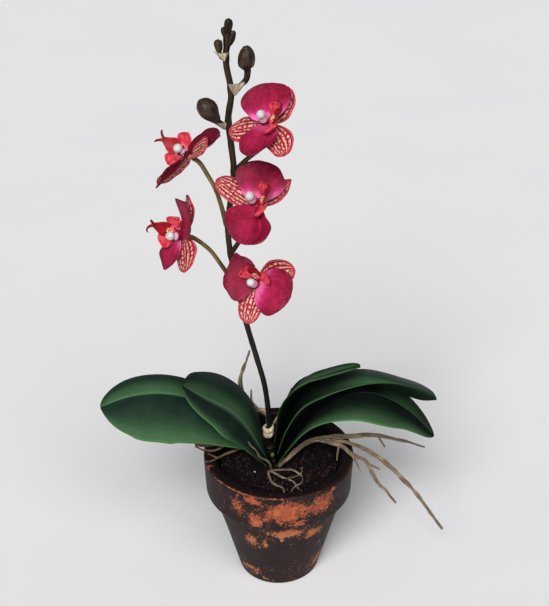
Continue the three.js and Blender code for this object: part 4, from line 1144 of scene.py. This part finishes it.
# Each bud: the way that it takes on from the end of its stalk, its radii along that way, how lumpy it is,
# and its stalk's points and radii.
BUDS = {
    "bud_large": {
        "way": [(-27, -0.9, 261.4), (-29.4, -1, 264.2), (-32.2, -1, 267.8), (-35.8, -1, 271.8)],
        "radii": [1.2, 2.7, 4, 4.3, 3.8, 2.6], "lumps": 0.12,
        "stalk": [(-22.3, 0, 259.5), (-25, -0.4, 260.2), (-27.8, -0.9, 262.4)], "stalk_radii": [1.25, 1, 1],
    },
    "bud_right": {
        "way": [(-14.6, -2, 286.2), (-14.4, -2, 290), (-14, -2, 293.4), (-13.6, -2, 297.2)],
        "radii": [2.7, 3.6, 3.9, 3.7, 2.7, 0.8], "lumps": 0.24,
        "stalk": [(-20.8, 0, 276.4), (-17.6, -1, 278.4), (-14.4, -1.6, 281.8), (-13.6, -1.9, 287.4)],
        "stalk_radii": [1.3, 1.2, 1.4, 1.6],
    },
    "bud_small": {
        "way": [(-26, -0.9, 293.8), (-26.3, -1, 296), (-26.7, -1, 299.6)],
        "radii": [1.1, 1.7, 1.9, 1.4], "lumps": 0.12,
        "stalk": [(-23.4, 0, 290.8), (-25, -0.6, 291.6), (-26.5, -0.9, 295)], "stalk_radii": [1.25, 1.1, 1],
    },
}
TIP_BUDS = [
    {"way": [(-23.2, 0, 293), (-22.6, 0, 298), (-22.6, -0.2, 303)], "radii": [1.2, 1.4, 1.7, 1.7, 1.4]},
    {"way": [(-22.6, -0.3, 301), (-22, -0.4, 304.8), (-21.6, -0.4, 308.7)], "radii": [1.2, 1.6, 1.9, 1.3]},
    {"way": [(-23, -0.3, 300), (-24.2, -0.5, 305)], "radii": [0.9, 1.4, 1]},
    {"way": [(-22.4, -0.2, 296.4), (-20.6, -0.3, 299.6), (-19.6, -0.4, 303.4)], "radii": [1.3, 1.6, 1.15]},
]
# How far in front of a bloom's centre its sepals and its petals lie, and how far from the middle of their
# small discs the seats of the stalk and the lip are reckoned.
SEPAL_LAYER = -1.0
PETAL_LAYER = 0.4
DISC_SEAT = 0.55
STALK = {"straight": 4.5, "set_back": 0.1}
# How the bark of the stem and of the stalks is made, and how lumpy the skin of every bud is.
STEM_BARK = {
    "sides": 24, "step": 1.0, "lobes": 0.03, "seed": 2, "tone": [0.1, 0, 0.05, 0.15, 0.2, 0.15, 0.15, 0.1],
}
STALK_BARK = {"sides": 18, "lobes": 0.02}
BUD_SKIN = {"sides": 40, "step": 0.25, "lobes": 0.035, "fine": 1.5, "coarse": 3, "coarse_share": 0.8}
TIP_LUMPS = 0.12
STEM_JOINT = {"swell": 0.25, "rise": 0.5, "reach": 1.6}


def unit(vector):
    """The vector divided by its length."""
    return np.asarray(vector, float) / np.linalg.norm(vector)


def pedicel_path(bloom):
    """The stalk's points, and two more straight behind the bloom, so that it ends square to it."""
    seat = (DISC_SEAT - SEPAL_LAYER) * bloom["size"] + STALK["set_back"]
    centre, face = np.array(bloom["centre"]), unit(bloom["face"])
    behind = [centre - distance * face for distance in (seat + STALK["straight"], seat)]
    return [*bloom["pedicel"], *behind]


def stem_strand():
    """The stem, whose radius swells by swell * exp(-((height - foot - rise) / reach)^2) at each stalk."""
    heights = np.linspace(STEM[0][2], STEM[-1][2], 120)
    radii = np.interp(heights, np.linspace(STEM[0][2], STEM[-1][2], len(STEM_RADII)), STEM_RADII)
    feet = [bloom["pedicel"][0] for bloom in BLOOMS.values()] + [bud["stalk"][0] for bud in BUDS.values()]
    for foot in feet:
        above = (heights - foot[2] - STEM_JOINT["rise"]) / STEM_JOINT["reach"]
        radii += STEM_JOINT["swell"] * np.exp(-(above**2))
    return strand(STEM, radii, **STEM_BARK)


def bud_body(way, radii, lumps, seed):
    """A strand along the bud's way with lumps: a point at the angle a of its ring moves by
    lumps * (fine waver + coarse_share * coarse waver) * (0, cos(a), sin(a))."""
    body = strand(way, radii, BUD_SKIN["sides"], BUD_SKIN["step"], BUD_SKIN["lobes"], seed=seed + 3)
    fine = waver(body["points"], BUD_SKIN["fine"], seed)
    coarse = waver(body["points"], BUD_SKIN["coarse"], seed + 9)
    rough = lumps * (fine + BUD_SKIN["coarse_share"] * coarse)
    body["points"] = body["points"] + rough[:, None] * np.pad(body["place"][:, 1:], ((0, 0), (1, 0)))
    return body


spike_parts = [stem_strand()]
for bloom in BLOOMS.values():
    tones = [0.35 * bloom["olive"], bloom["olive"], bloom["olive"]]
    spike_parts.append(strand(pedicel_path(bloom), PEDICEL_RADII, step=0.8, tone=tones, **STALK_BARK))
for bud in BUDS.values():
    spike_parts.append(strand(bud["stalk"], bud["stalk_radii"], step=0.6, tone=0.1, **STALK_BARK))
for seed, bud in enumerate(TIP_BUDS):
    spike_parts.append(bud_body(bud["way"], bud["radii"], TIP_LUMPS, seed + 20))
build("flower_spike", spike_parts, stem_skin)

# Basal sheath: the papery remains of an old leaf, two cream rings round the foot of the spike.
# It grips the stem loosely, just above the crown.
SHEATH = {
    "x": -5.6, "y": 3.6, "foot": 82.4, "height": 6, "inner": 1.75, "outer": 3.1,
    "lip": 0.3, "tilt": 0.4, "unevenness": 0.03, "rows_outside": 30, "rows_inside": 10, "columns": 48,
}


def sheath_shell():
    """A ring whose outline bulges twice: radius = inner + (outer - inner) * (0.45 + 0.55 |sin(2 pi
    h)|^0.6) on the outside, and the plain inner radius on the way back down; it tilts by a wave."""
    outside = np.linspace(0, 1, SHEATH["rows_outside"])
    inside = np.linspace(1, 0, SHEATH["rows_inside"])
    share = 0.45 + 0.55 * np.abs(np.sin(2 * np.pi * outside)) ** 0.6
    bulge = SHEATH["inner"] + (SHEATH["outer"] - SHEATH["inner"]) * share
    bulge[[0, -1]] = SHEATH["inner"] + SHEATH["lip"]
    radius = np.concatenate([bulge, np.full(len(inside), SHEATH["inner"])])
    height = np.concatenate([outside, inside]) * SHEATH["height"]
    turn = 2 * np.pi * np.arange(SHEATH["columns"]) / SHEATH["columns"]
    x = SHEATH["x"] + radius[:, None] * np.cos(turn) * (1 + SHEATH["unevenness"] * np.sin(3 * turn))
    y = SHEATH["y"] + radius[:, None] * np.sin(turn)
    z = SHEATH["foot"] + height[:, None] + SHEATH["tilt"] * np.sin(turn + 0.8)
    rings = np.stack([x, y, np.broadcast_to(z, x.shape)], axis=-1)
    place = np.stack(np.broadcast_arrays(height[:, None], np.cos(turn), np.sin(turn)), axis=-1)
    return shell(rings, place, 1.0, endless=True)


dry_paper, recipe, shader = new_material("bract", Roughness=0.75, Specular_IOR_Level=0.35)
surface = recipe.millimetres()
place = recipe.place()
ribs = fibrous(recipe, place, 3, 0.25)
dry = recipe.mix(ribs, "6e6458", "aca294")
cream = recipe.mix(ribs, "b3a47e", "e6ddc4")
skin = recipe.mix(recipe.tone(), dry, cream)
stained = blotched(recipe, surface, 1.8, 0.1)
recipe.put(shader["Base Color"], recipe.mix(recipe.times(stained, 0.45), skin, "6b5342"))
recipe.put(shader["Normal"], recipe.bump(ribs, 0.15, 0.8))
build("basal_sheath", [sheath_shell()], dry_paper)

# Bracts: a small dry scale in front of the foot of each bud's stalk, cream and papery.
# Each grows from the stem by its low point, and the stalk lies in its hollow.

# Each bract: its low point, the two ends of its rim, how far it bulges, and how cream its left and right
# sides are.
BRACTS = {
    "bract_low": {
        "low": (-24.4, -2, 257.6), "rim": [(-29.6, -1.6, 261), (-22.6, -1.8, 261.6)],
        "bulge": 1.3, "cream": [0, 0.2],
    },
    "bract_middle": {
        "low": (-19.6, -3, 273.8), "rim": [(-22.6, -2.4, 279), (-13.6, -3.2, 281.4)],
        "bulge": 1.2, "cream": [0.1, 1],
    },
    "bract_high": {
        "low": (-23.8, -2.2, 289.4), "rim": [(-28.2, -1.8, 293.8), (-21.9, -2, 293.6)],
        "bulge": 1.2, "cream": [1, 0.6],
    },
}
BRACT = {"rows": 26, "columns": 14, "thickness": 0.4, "foot": 0.1, "wave": 0.07}


def bract_surface(bract):
    """low + (foot + (1 - foot) u) * (left + (right - left) * (1 + v) / 2 - low), set 1 mm back and then
    pushed to the front by bulge * (1 - v^2) * (1 - (1 - u)^2) and down by a fifth of that, with a rim
    that waves by wave * sin(6 v + 1)."""
    low = np.array(bract["low"])
    left, right = np.array(bract["rim"])

    def surface(u, v):
        share = (0.5 + 0.5 * v)[..., None]
        rim = left + (right - left) * share - low
        rim = rim * (1 + BRACT["wave"] * np.sin(6 * v + 1))[..., None]
        rim = rim * (BRACT["foot"] + (1 - BRACT["foot"]) * u)[..., None]
        front = bract["bulge"] * (1 - v * v) * (1 - (1 - u) ** 2)
        return low + rim + np.stack([0 * u, 1 - front, -0.2 * front], axis=-1)

    return surface


def bract_cream(bract):
    """How cream the scale is: from its left value to its right one, in a straight line across it."""
    left, right = bract["cream"]
    return lambda u, v: left + (right - left) * (0.5 + 0.5 * v)


def bract_thickness(u, v):
    """The same thickness all over."""
    return np.full(u.shape, BRACT["thickness"])


for node, bract in BRACTS.items():
    scale = blade(bract_surface(bract), BRACT["rows"], BRACT["columns"], bract_thickness, bract_cream(bract))
    build(node, [scale], dry_paper)

# Buds: unopened flowers, dark brown and waxy, three sepals closed edge to edge in an egg.
# Each sits on the end of its short stalk.
bud_skin, recipe, shader = new_material("bud", Roughness=0.48, Specular_IOR_Level=0.45)
surface = recipe.millimetres()
place = recipe.place()
along = recipe.numbers(place)[0]
veins = fibrous(recipe, place, 2.8, 0.16)
husk = recipe.mix(veins, "0c0706", "4c362b")
olive_foot = recipe.times(recipe.step(along, 5, 0.5), veins)
husk = recipe.mix(recipe.times(olive_foot, 0.6), husk, "4f4c2c")
sheen = blotched(recipe, surface, 3, 0.15)
recipe.put(shader["Base Color"], recipe.mix(recipe.times(sheen, 0.2), husk, "4b3a38"))
recipe.put(shader["Normal"], recipe.bump(grained(recipe, surface, 0.8), 0.1, 0.8))

for seed, (node, bud) in enumerate(BUDS.items()):
    build(node, [bud_body(bud["way"], bud["radii"], bud["lumps"], seed)], bud_skin)

# Blooms: five open moth-orchid flowers of thin waxy tissue. Three striped sepals form the back, two
# broad satin petals lie on them, and a three-lobed lip, a column and its white cap stand in the middle.
# Everything is joined at a small disc on the end of the stalk.
SEPAL = {
    "length": 16.5, "half_width": 5.8, "cup": -0.1, "wave": 0.0, "layer": SEPAL_LAYER, "thickness": 0.6,
}
PETAL = {
    "length": 16, "half_width": 10.6, "cup": 0.05, "wave": 0.5, "layer": PETAL_LAYER, "thickness": 0.55,
}
TEPAL = {
    "rows": 46, "columns": 30, "thinning": 0.45,
    "groove": 0.35, "groove_width": 0.12, "fold_width": 0.24,
}
HUB = {"radius": 2.3, "half": 0.75, "rows": 12}
CLAW = {"start": 0.8, "half_width": 1.1}
NO_FOLD = {"at": 0, "deep": 0}


def rim_distance(u, v):
    """0 at the middle of a tepal and 1 all round its rim: sqrt(x^2 + v^2 (1 - x^2)), x = 2 u - 1."""
    x = 2 * u - 1
    return np.sqrt(x**2 + v**2 * (1 - x**2))


def tepal_surface(kind, row, fold, seed):
    """In the bloom's frame: reach = start + length * u along its angle, and half * v to the side,
    where half = half-width * share * sqrt(1 - (2u - 1)^2)^0.9, at least a claw's width at the foot. It
    rises by reach * sin(tilt) + half * v * sin(twist) + cup * v^2 * half + the wave of its margin. A
    groove along its middle, and a fold beside that, sink it by depth * exp(-(from its middle /
    width)^2) * sin(pi u)."""
    angle, tilt, twist, extent, left, right = row
    along = np.array([np.cos(np.radians(angle)), np.sin(np.radians(angle))])
    aside = np.array([-along[1], along[0]])
    phase = np.random.default_rng(seed).uniform(0, 2 * np.pi, 4)
    turned = np.radians(twist)

    def surface(u, v):
        reach = CLAW["start"] + kind["length"] * extent * u
        swell = np.sqrt(np.clip(1 - (2 * u - 1) ** 2, 0, 1))
        share = np.where(v > 0, eased(left, u), eased(right, u))
        half = np.hypot(kind["half_width"] * share * swell**0.9, CLAW["half_width"] * (1 - u) ** 2)
        half = half * (1 + 0.025 * np.sin(9 * u + 2 * v + phase[0]))
        ripple = kind["wave"] * np.sin(7 * u + 2.6 * v) * u * v * v
        frill = 0.22 * np.sin(17 * u + 5 * v + phase[1]) * u * v**4
        frill = frill + 0.18 * np.sin(11 * v + phase[2]) * np.clip(u - 0.6, 0, 1) ** 2 / 0.16
        groove = -TEPAL["groove"] * np.exp(-((v / TEPAL["groove_width"]) ** 2)) * np.sin(np.pi * u)
        from_fold = (v - fold["at"]) / TEPAL["fold_width"]
        groove = groove - fold["deep"] * np.exp(-(from_fold**2)) * np.sin(np.pi * u)
        lift = kind["layer"] + reach * np.sin(np.radians(tilt)) + kind["cup"] * v * v * half
        lift = lift + half * v * np.sin(turned)
        flat = reach * np.cos(np.radians(tilt))
        x = flat * along[0] + half * v * np.cos(turned) * aside[0]
        y = flat * along[1] + half * v * np.cos(turned) * aside[1]
        return np.stack([x, y, lift + ripple + frill + groove], axis=-1)

    return surface


def tepals(kind, rows, fold, seed, glow=(0, 0, 0)):
    """The closed blades of a bloom's sepals or of its petals, in the bloom's frame; the last of them
    has the fold, and the third number of each one's place is its glow, which below 0 is painted shade."""

    def thickness(u, v):
        return kind["thickness"] * (1 - TEPAL["thinning"] * rim_distance(u, v) ** 3)

    blades = []
    for k, (row, strength) in enumerate(zip(rows, glow)):
        surface = tepal_surface(kind, row, fold if k == len(rows) - 1 else NO_FOLD, seed + k)
        part = blade(surface, TEPAL["rows"], TEPAL["columns"], thickness, rim_distance)
        part["place"][:, 2] = strength
        blades.append(part)
    return blades


def hub_shell(layer):
    """The small rounded disc that joins the feet of the sepals, or of the petals."""
    return egg(centre=(0, 0, layer), axis=(0, 0, 1), **HUB)


def in_place(bloom, shells):
    """The shells moved from the bloom's own frame to its place: centre + size * (x right + y dorsal
    + z face). The frame is right-handed, so faces still point outward."""
    face = unit(bloom["face"])
    dorsal = np.array(bloom["dorsal"]) - np.dot(bloom["dorsal"], face) * face
    dorsal = unit(dorsal)
    frame_rows = np.stack([np.cross(dorsal, face), dorsal, face])
    moved = []
    for part in shells:
        points = np.array(bloom["centre"]) + bloom["size"] * (part["points"] @ frame_rows)
        moved.append({**part, "points": points})
    return moved


# Sepals: the three outer leaves of a bloom, coral red and waxy, with seven dark red lines from foot to
# tip and broken cream patches between. They grow together in the small disc at their feet.
sepal_skin, recipe, shader = new_material("sepal", Roughness=0.55, Specular_IOR_Level=0.3)
surface = recipe.millimetres()
place = recipe.place()
along, across, _ = recipe.numbers(place)
rim = recipe.tone()

# Lanes run from foot to tip and wander a little. Each has a dark line in its middle, and cream beads fill
# the space between two lines.
wander = recipe.maths("SUBTRACT", recipe.noise(surface, 0.5, 2.0), 0.5)
lane = recipe.maths("MULTIPLY_ADD", across, 3.6, recipe.times(wander, 0.4))
lane = recipe.maths("PINGPONG", lane, 0.5)
line = recipe.step(lane, 0.17, 0.05)
between = recipe.step(lane, 0.14, 0.3)
beads = recipe.noise(recipe.stretch(place, (15, 4.5, 1)), 1.0, 2.0, 0.6)
inner = recipe.step(rim, 1.0, 0.82)
cream = recipe.times(between, recipe.step(beads, 0.43, 0.55))
cream = recipe.times(cream, inner)
flesh = recipe.mix(recipe.step(rim, 0.7, 1), "a82c40", "be4452")
flesh = recipe.mix(recipe.times(line, 0.9), flesh, "761024")
flesh = recipe.mix(recipe.times(cream, 0.85), flesh, "e2bca6")
foot_glow = recipe.step(along, 0.16, 0.0)
recipe.put(shader["Base Color"], recipe.mix(recipe.times(foot_glow, 0.6), flesh, "e0b898"))
recipe.put(shader["Normal"], recipe.bump(recipe.maths("SUBTRACT", cream, line), 0.12, 0.5))

# Petals: the two broad inner leaves, crimson magenta with a satin sheen, a hot pink glow at the foot and
# a darker mottled margin. They lie on the sepals and grow from a disc of their own.
petal_skin, recipe, shader = new_material("petal", Roughness=0.5, Specular_IOR_Level=0.3)
surface = recipe.millimetres()
place = recipe.place()
along, _, strength = recipe.numbers(place)
rim = recipe.tone()

# Fine rays from foot to tip, mottled with a lighter pink and clouded with a darker red.
rays = fibrous(recipe, place, 14, 1.6)
ground = recipe.mix(rays, "92123a", "a81c4a")
mottled = blotched(recipe, surface, 0.6, 0.18)
ground = recipe.mix(recipe.times(mottled, 0.42), ground, "c03464")
cloudy = blotched(recipe, surface, 5, 0.16)
ground = recipe.mix(recipe.times(cloudy, 0.55), ground, "740c28")

# Dark speckles along the margin, and a foot that glows pink; where the strength is below 0, painted shade
# darkens the whole petal instead.
edge = recipe.times(recipe.step(rim, 0.5, 1.0), recipe.step(along, 0.15, 0.45))
speckled = blotched(recipe, surface, 0.9, 0.22)
speckled = recipe.times(edge, speckled)
ground = recipe.mix(recipe.times(speckled, 0.85), ground, "50081e")
glow_reach = recipe.maths("MULTIPLY_ADD", rays, -0.08, along)
# Painted shade: a strength below 0 darkens the whole petal.
ground = recipe.mix(recipe.times(strength, -1), ground, "5c0a22")
glow = recipe.times(recipe.step(glow_reach, 0.5, 0.04), strength)
ground = recipe.mix(recipe.times(glow, 0.85), ground, "d63a84")
palest = recipe.times(recipe.step(glow_reach, 0.26, 0.06, 0, 0.7), strength)
recipe.put(shader["Base Color"], recipe.mix(palest, ground, "f294c8"))
relief = recipe.maths("MULTIPLY_ADD", grained(recipe, surface, 0.6), 0.5, rays)
recipe.put(shader["Normal"], recipe.bump(relief, 0.1, 0.5))

# Lip: scarlet, with coral side lobes that stand up, a middle lobe that ends in two hooked tendrils and a
# spotted callus of five warts. It grows from the middle of the petals, in front of the column.
LIP_CLEARANCE = 0.35
LIP_FOOT = PETAL_LAYER + DISC_SEAT + LIP_CLEARANCE
LIP_THICKNESS = {"edge": 0.6, "more_along_middle": 0.25}
LIP_MIDDLE = {
    "path": [(0, -1.5, LIP_FOOT), (0, -3.6, 3.6), (0, -5, 7), (0, -5.8, 11.2)],
    "half_widths": [1.2, 2.2, 3.1, 3.2, 1.9, 0.6], "cup": 0.3, "rows": 40, "columns": 18,
}
LIP_LOBE = {
    "path": [(0.3, -2.4, 2.6), (2.8, -3.3, 3.4), (5.1, -3, 4), (7.2, -1.6, 4)],
    "half_widths": [1.3, 2.5, 3.4, 3.3, 1.9], "ruffle": 0.55, "lean": 34, "rows": 28, "columns": 20,
}
TENDRIL = {
    "path": [(0.2, -5.6, 10.4), (1, -5.9, 11.6), (1.9, -5.6, 12.6), (2.5, -4.6, 13), (2.6, -3.6, 12.8)],
    "radii": [0.7, 0.45, 0.2], "sides": 12, "step": 0.35,
}
CALLUS = [(-0.55, -2.9, 3.9), (0.55, -2.9, 3.9), (-0.4, -3.2, 4.9), (0.4, -3.2, 4.9), (0, -2.5, 3.2)]
CALLUS_TONE = 2.0
WART = {"axis": (0, 1, 0.3), "radius": 0.55, "half": 0.7, "rows": 10, "sides": 14}
# How far the whole lip moves toward the face as it is turned down by a quarter turn.
LIP_RISE = 1.6


def middle_lobe(u, v):
    """path(u) + half(u) * v to the side, cupped by cup * half * v^2, with a frill of 0.15 mm."""
    half = eased(LIP_MIDDLE["half_widths"], u)
    spine = smooth_path(LIP_MIDDLE["path"], u[:, 0])[:, None]
    cup = LIP_MIDDLE["cup"] * half * v * v + 0.15 * np.sin(14 * u) * v**2
    return spine + np.stack([half * v, cup, 0 * v], axis=-1)


def side_lobe(side):
    """path(u) with half(u) * v along a direction that leans from the face away from the column, and
    ruffled by sin(5 u + 3 v) and a finer sin(12 v + 4 u) toward its end."""
    path = [(side * x, y, z) for x, y, z in LIP_LOBE["path"]]
    lean = np.radians(LIP_LOBE["lean"])

    def surface(u, v):
        half = eased(LIP_LOBE["half_widths"], u) * np.sqrt(np.clip(1.02 - u**6, 0, 1))
        ruffle = LIP_LOBE["ruffle"] * np.sin(5 * u + 3 * v) * u + 0.3 * np.sin(12 * v + 4 * u) * u * u
        outward = ruffle - np.sin(lean) * half * v
        upward = 0.4 * ruffle + np.cos(lean) * half * v
        return smooth_path(path, u[:, 0])[:, None] + np.stack([0 * u, outward, upward], axis=-1)

    return surface


def lip_thickness(u, v):
    """Thickest along the middle."""
    return LIP_THICKNESS["edge"] + LIP_THICKNESS["more_along_middle"] * (1 - v * v)


def lip_shells(turn):
    """The lobes, tendrils and callus, all turned down from the column by some degrees. Their tone is
    near 0 on the middle lobe and the tendrils, 1 on the side lobes and 2 on the callus."""
    rows, columns = LIP_MIDDLE["rows"], LIP_MIDDLE["columns"]
    parts = [blade(middle_lobe, rows, columns, lip_thickness, lambda u, v: 0.15 * u)]
    rows, columns = LIP_LOBE["rows"], LIP_LOBE["columns"]
    for side in (1, -1):
        parts.append(blade(side_lobe(side), rows, columns, lip_thickness, lambda u, v: 1 + 0 * u))
        way = [(side * x, y, z) for x, y, z in TENDRIL["path"]]
        parts.append(strand(way, TENDRIL["radii"], TENDRIL["sides"], TENDRIL["step"]))
    parts += [egg(centre=spot, **WART, tone=CALLUS_TONE) for spot in CALLUS]
    angle = np.radians(turn)
    tilt = np.array([[1, 0, 0], [0, np.cos(angle), np.sin(angle)], [0, -np.sin(angle), np.cos(angle)]])
    foot = np.array([0, 0, LIP_FOOT])
    raise_by = np.array([0, 0, LIP_RISE * np.sin(angle)])
    return [{**part, "points": (part["points"] - foot) @ tilt + foot + raise_by} for part in parts]


lip_skin, recipe, shader = new_material("lip", Roughness=0.45, Specular_IOR_Level=0.3)
surface = recipe.millimetres()
along = recipe.numbers(recipe.place())[0]

# Scarlet where the tone is near 0, coral where it is 1, and cream with red spots where it is 2.
kind = recipe.tone()
cloudy = blotched(recipe, surface, 2.2, 0.2)
scarlet = recipe.mix(cloudy, "8a0e1e", "b41a28")
scarlet = recipe.mix(recipe.step(along, 0.75, 1.0, 0, 0.7), scarlet, "650c18")
coral = recipe.mix(cloudy, "c02a3c", "e05e6c")
coral = recipe.mix(recipe.step(along, 0.5, 0.1, 0, 0.6), coral, "ea8294")
skin = recipe.mix(recipe.step(kind, 0.4, 0.8), scarlet, coral)
spotted = recipe.mix(recipe.step(recipe.noise(surface, 1.6), 0.42, 0.56), "b83040", "e8d0a0")
recipe.put(shader["Base Color"], recipe.mix(recipe.step(kind, 1.4, 1.8), skin, spotted))
recipe.put(shader["Normal"], recipe.bump(grained(recipe, surface, 0.7), 0.08, 0.6))

# Column and cap: a mauve pink finger that leans over the lip, and the waxy white ball on its end.
# The column grows out of the bloom's middle, and the cap sits on its rounded end.
COLUMN = {
    "foot_y": 0.7, "belly": 0.55, "belly_y": 0.3, "into_cap": 0.4,
    "radii": [1.7, 1.8, 2], "sides": 24, "step": 0.4,
}
CAP_RADIUS = 1.85
CAP_GRID = {"rows": 30, "sides": 36}
DIMPLE = {"depth": 0.3, "spread": 0.02, "aim_y": -0.15}
SEAM = {"depth": 0.12, "half_width": 0.3, "from_dimple": 0.9}


def leaning(degrees):
    """The direction that leans from the face toward the dorsal side by some degrees."""
    return np.array([0, np.sin(np.radians(degrees)), np.cos(np.radians(degrees))])


def column_shell(lean, reach):
    """A strand from beside the lip's foot to just inside the cap, thicker toward its end."""
    end = reach - CAP_RADIUS + COLUMN["into_cap"]
    way = leaning(lean)
    belly = COLUMN["belly"] * end * way + [0, COLUMN["belly_y"], 0]
    path = [(0, COLUMN["foot_y"], LIP_FOOT), belly, end * way]
    return strand(path, COLUMN["radii"], COLUMN["sides"], COLUMN["step"], tone=[0, 0.5, 1])


def cap_shell(lean, reach):
    """A ball whose points are drawn in by depth * exp(-(1 - cos(away)) / spread) in its front, for the
    dimple, and by depth * exp(-(x / half-width)^2) beside that, for the line down its middle."""
    centre = reach * leaning(lean)
    ball = egg(centre, leaning(lean), CAP_RADIUS, CAP_RADIUS, **CAP_GRID)
    spoke = ball["points"] - centre
    front = spoke @ unit(leaning(lean) + [0, DIMPLE["aim_y"], 0]) / CAP_RADIUS
    dent = DIMPLE["depth"] * np.exp(-((1 - front) / DIMPLE["spread"]))
    line = SEAM["depth"] * np.exp(-((spoke[:, 0] / SEAM["half_width"]) ** 2))
    dent = dent + line * (front < SEAM["from_dimple"])
    return {**ball, "points": ball["points"] - dent[:, None] * spoke / CAP_RADIUS}


column_skin, recipe, shader = new_material("column", Roughness=0.4, Specular_IOR_Level=0.45)
surface = recipe.millimetres()
blush = recipe.mix(recipe.noise(surface, 0.8), "b4507f", "cc7fa2")
recipe.put(shader["Base Color"], recipe.mix(recipe.step(recipe.tone(), 0.2, 1), blush, "d4b4c4"))
recipe.put(shader["Normal"], recipe.bump(grained(recipe, surface, 0.6), 0.06, 0.6))

cap_skin, recipe, shader = new_material("anther_cap", Roughness=0.42, Specular_IOR_Level=0.45)
surface = recipe.millimetres()
pearl = recipe.mix(blotched(recipe, surface, 1.6, 0.25), "bdbbbd", "d3d1cf")
recipe.put(shader["Base Color"], pearl)
recipe.put(shader["Normal"], recipe.bump(grained(recipe, surface, 0.4), 0.05, 0.6))

for order, (node, bloom) in enumerate(BLOOMS.items()):
    seed = 100 * order
    fold = bloom.get("fold", NO_FOLD)
    lean, reach = bloom["lean"], bloom["reach"]
    sepals = [hub_shell(SEPAL_LAYER), *tepals(SEPAL, bloom["sepals"], NO_FOLD, seed)]
    petals = [hub_shell(PETAL_LAYER), *tepals(PETAL, bloom["petals"], fold, seed + 50, bloom["glow"])]
    parts = {
        "sepals": (sepals, sepal_skin, "sepal"),
        "petals": (petals, petal_skin, "petal"),
        "lip": (lip_shells(bloom["lip_turn"]), lip_skin, "lip"),
        "column": ([column_shell(lean, reach)], column_skin, "column"),
        "cap": ([cap_shell(lean, reach)], cap_skin, "anther_cap"),
    }
    for part, (shells, skin, slot) in parts.items():
        build(f"{node}_{part}", in_place(bloom, shells), skin)

# Floor: a plain pale board, far wider than the view, for the pot to stand on.
# It isn't part of the plant.
FLOOR_HALF = 6.0
floor_mesh = bpy.data.meshes.new("floor")
corners = FLOOR_HALF * np.array([(-1, -1, 0), (1, -1, 0), (1, 1, 0), (-1, 1, 0)])
floor_mesh.from_pydata(corners.tolist(), [], [(0, 1, 2, 3)])
board, recipe, shader = new_material("board", Roughness=0.9, Specular_IOR_Level=0.2)
surface = recipe.millimetres()
pale = recipe.mix(blotched(recipe, surface, 300, 0.3), "e6e6e8", "eae9e8")
recipe.put(shader["Base Color"], pale)
floor_mesh.materials.append(board)
floor = bpy.data.objects.new("floor", floor_mesh)
bpy.context.scene.collection.objects.link(floor)

# Light: two broad soft lights from in front of the plant, the stronger on the left, in a pale room.
# Their angles are in degrees: round from the front, up from the floor, and how wide each light is.
LIGHTS = [
    {"azimuth": -18, "elevation": 42, "spread": 28, "strength": 2.65},
    {"azimuth": 24, "elevation": 46, "spread": 40, "strength": 1.1},
]
ROOM = {"colour": "f4f5f8", "strength": 0.2}
CONTRAST_GAMMA = 0.86


def aimed(thing, place, aim):
    """Puts a light or a camera at a place, with its -Z axis toward the aim."""
    thing.location = place
    thing.rotation_euler = Vector(aim - place).to_track_quat("-Z", "Y").to_euler()
    bpy.context.scene.collection.objects.link(thing)


for order, light in enumerate(LIGHTS):
    lamp = bpy.data.lights.new(f"soft_light_{order}", "SUN")
    lamp.angle = np.radians(light["spread"])
    lamp.energy = light["strength"]
    azimuth, elevation = np.radians(light["azimuth"]), np.radians(light["elevation"])
    way = [np.sin(azimuth) * np.cos(elevation), -np.cos(azimuth) * np.cos(elevation), np.sin(elevation)]
    aimed(bpy.data.objects.new(lamp.name, lamp), np.array(way), np.zeros(3))

room = bpy.data.worlds.new("room")
room.use_nodes = True
background = room.node_tree.nodes["Background"].inputs
background["Color"].default_value = colour(ROOM["colour"])
background["Strength"].default_value = ROOM["strength"]
bpy.context.scene.world = room
bpy.context.scene.view_settings.view_transform = "Standard"
bpy.context.scene.view_settings.gamma = CONTRAST_GAMMA

# Camera: in front of the plant and above it, as the photograph was taken. Its place, its aim and its
# sensor are in millimetres, how near and far it sees in metres, and the picture's measures in pixels.
IMAGE = {"height": 606, "focal": 1150, "centre_shift": 4.32}
CAMERA = {"place": (0, -490.5, 453.1), "aim": (0, 0, 166.24), "sensor": 36, "near": 0.02, "far": 30}
camera = bpy.data.cameras.new("camera")
camera.sensor_width = CAMERA["sensor"]
camera.lens = IMAGE["focal"] / IMAGE["height"] * CAMERA["sensor"]
camera.shift_x = -IMAGE["centre_shift"] / IMAGE["height"]
camera.clip_start = CAMERA["near"]
camera.clip_end = CAMERA["far"]
viewer = bpy.data.objects.new("camera", camera)
aimed(viewer, np.array(CAMERA["place"]) * MM, np.array(CAMERA["aim"]) * MM)
bpy.context.scene.camera = viewer
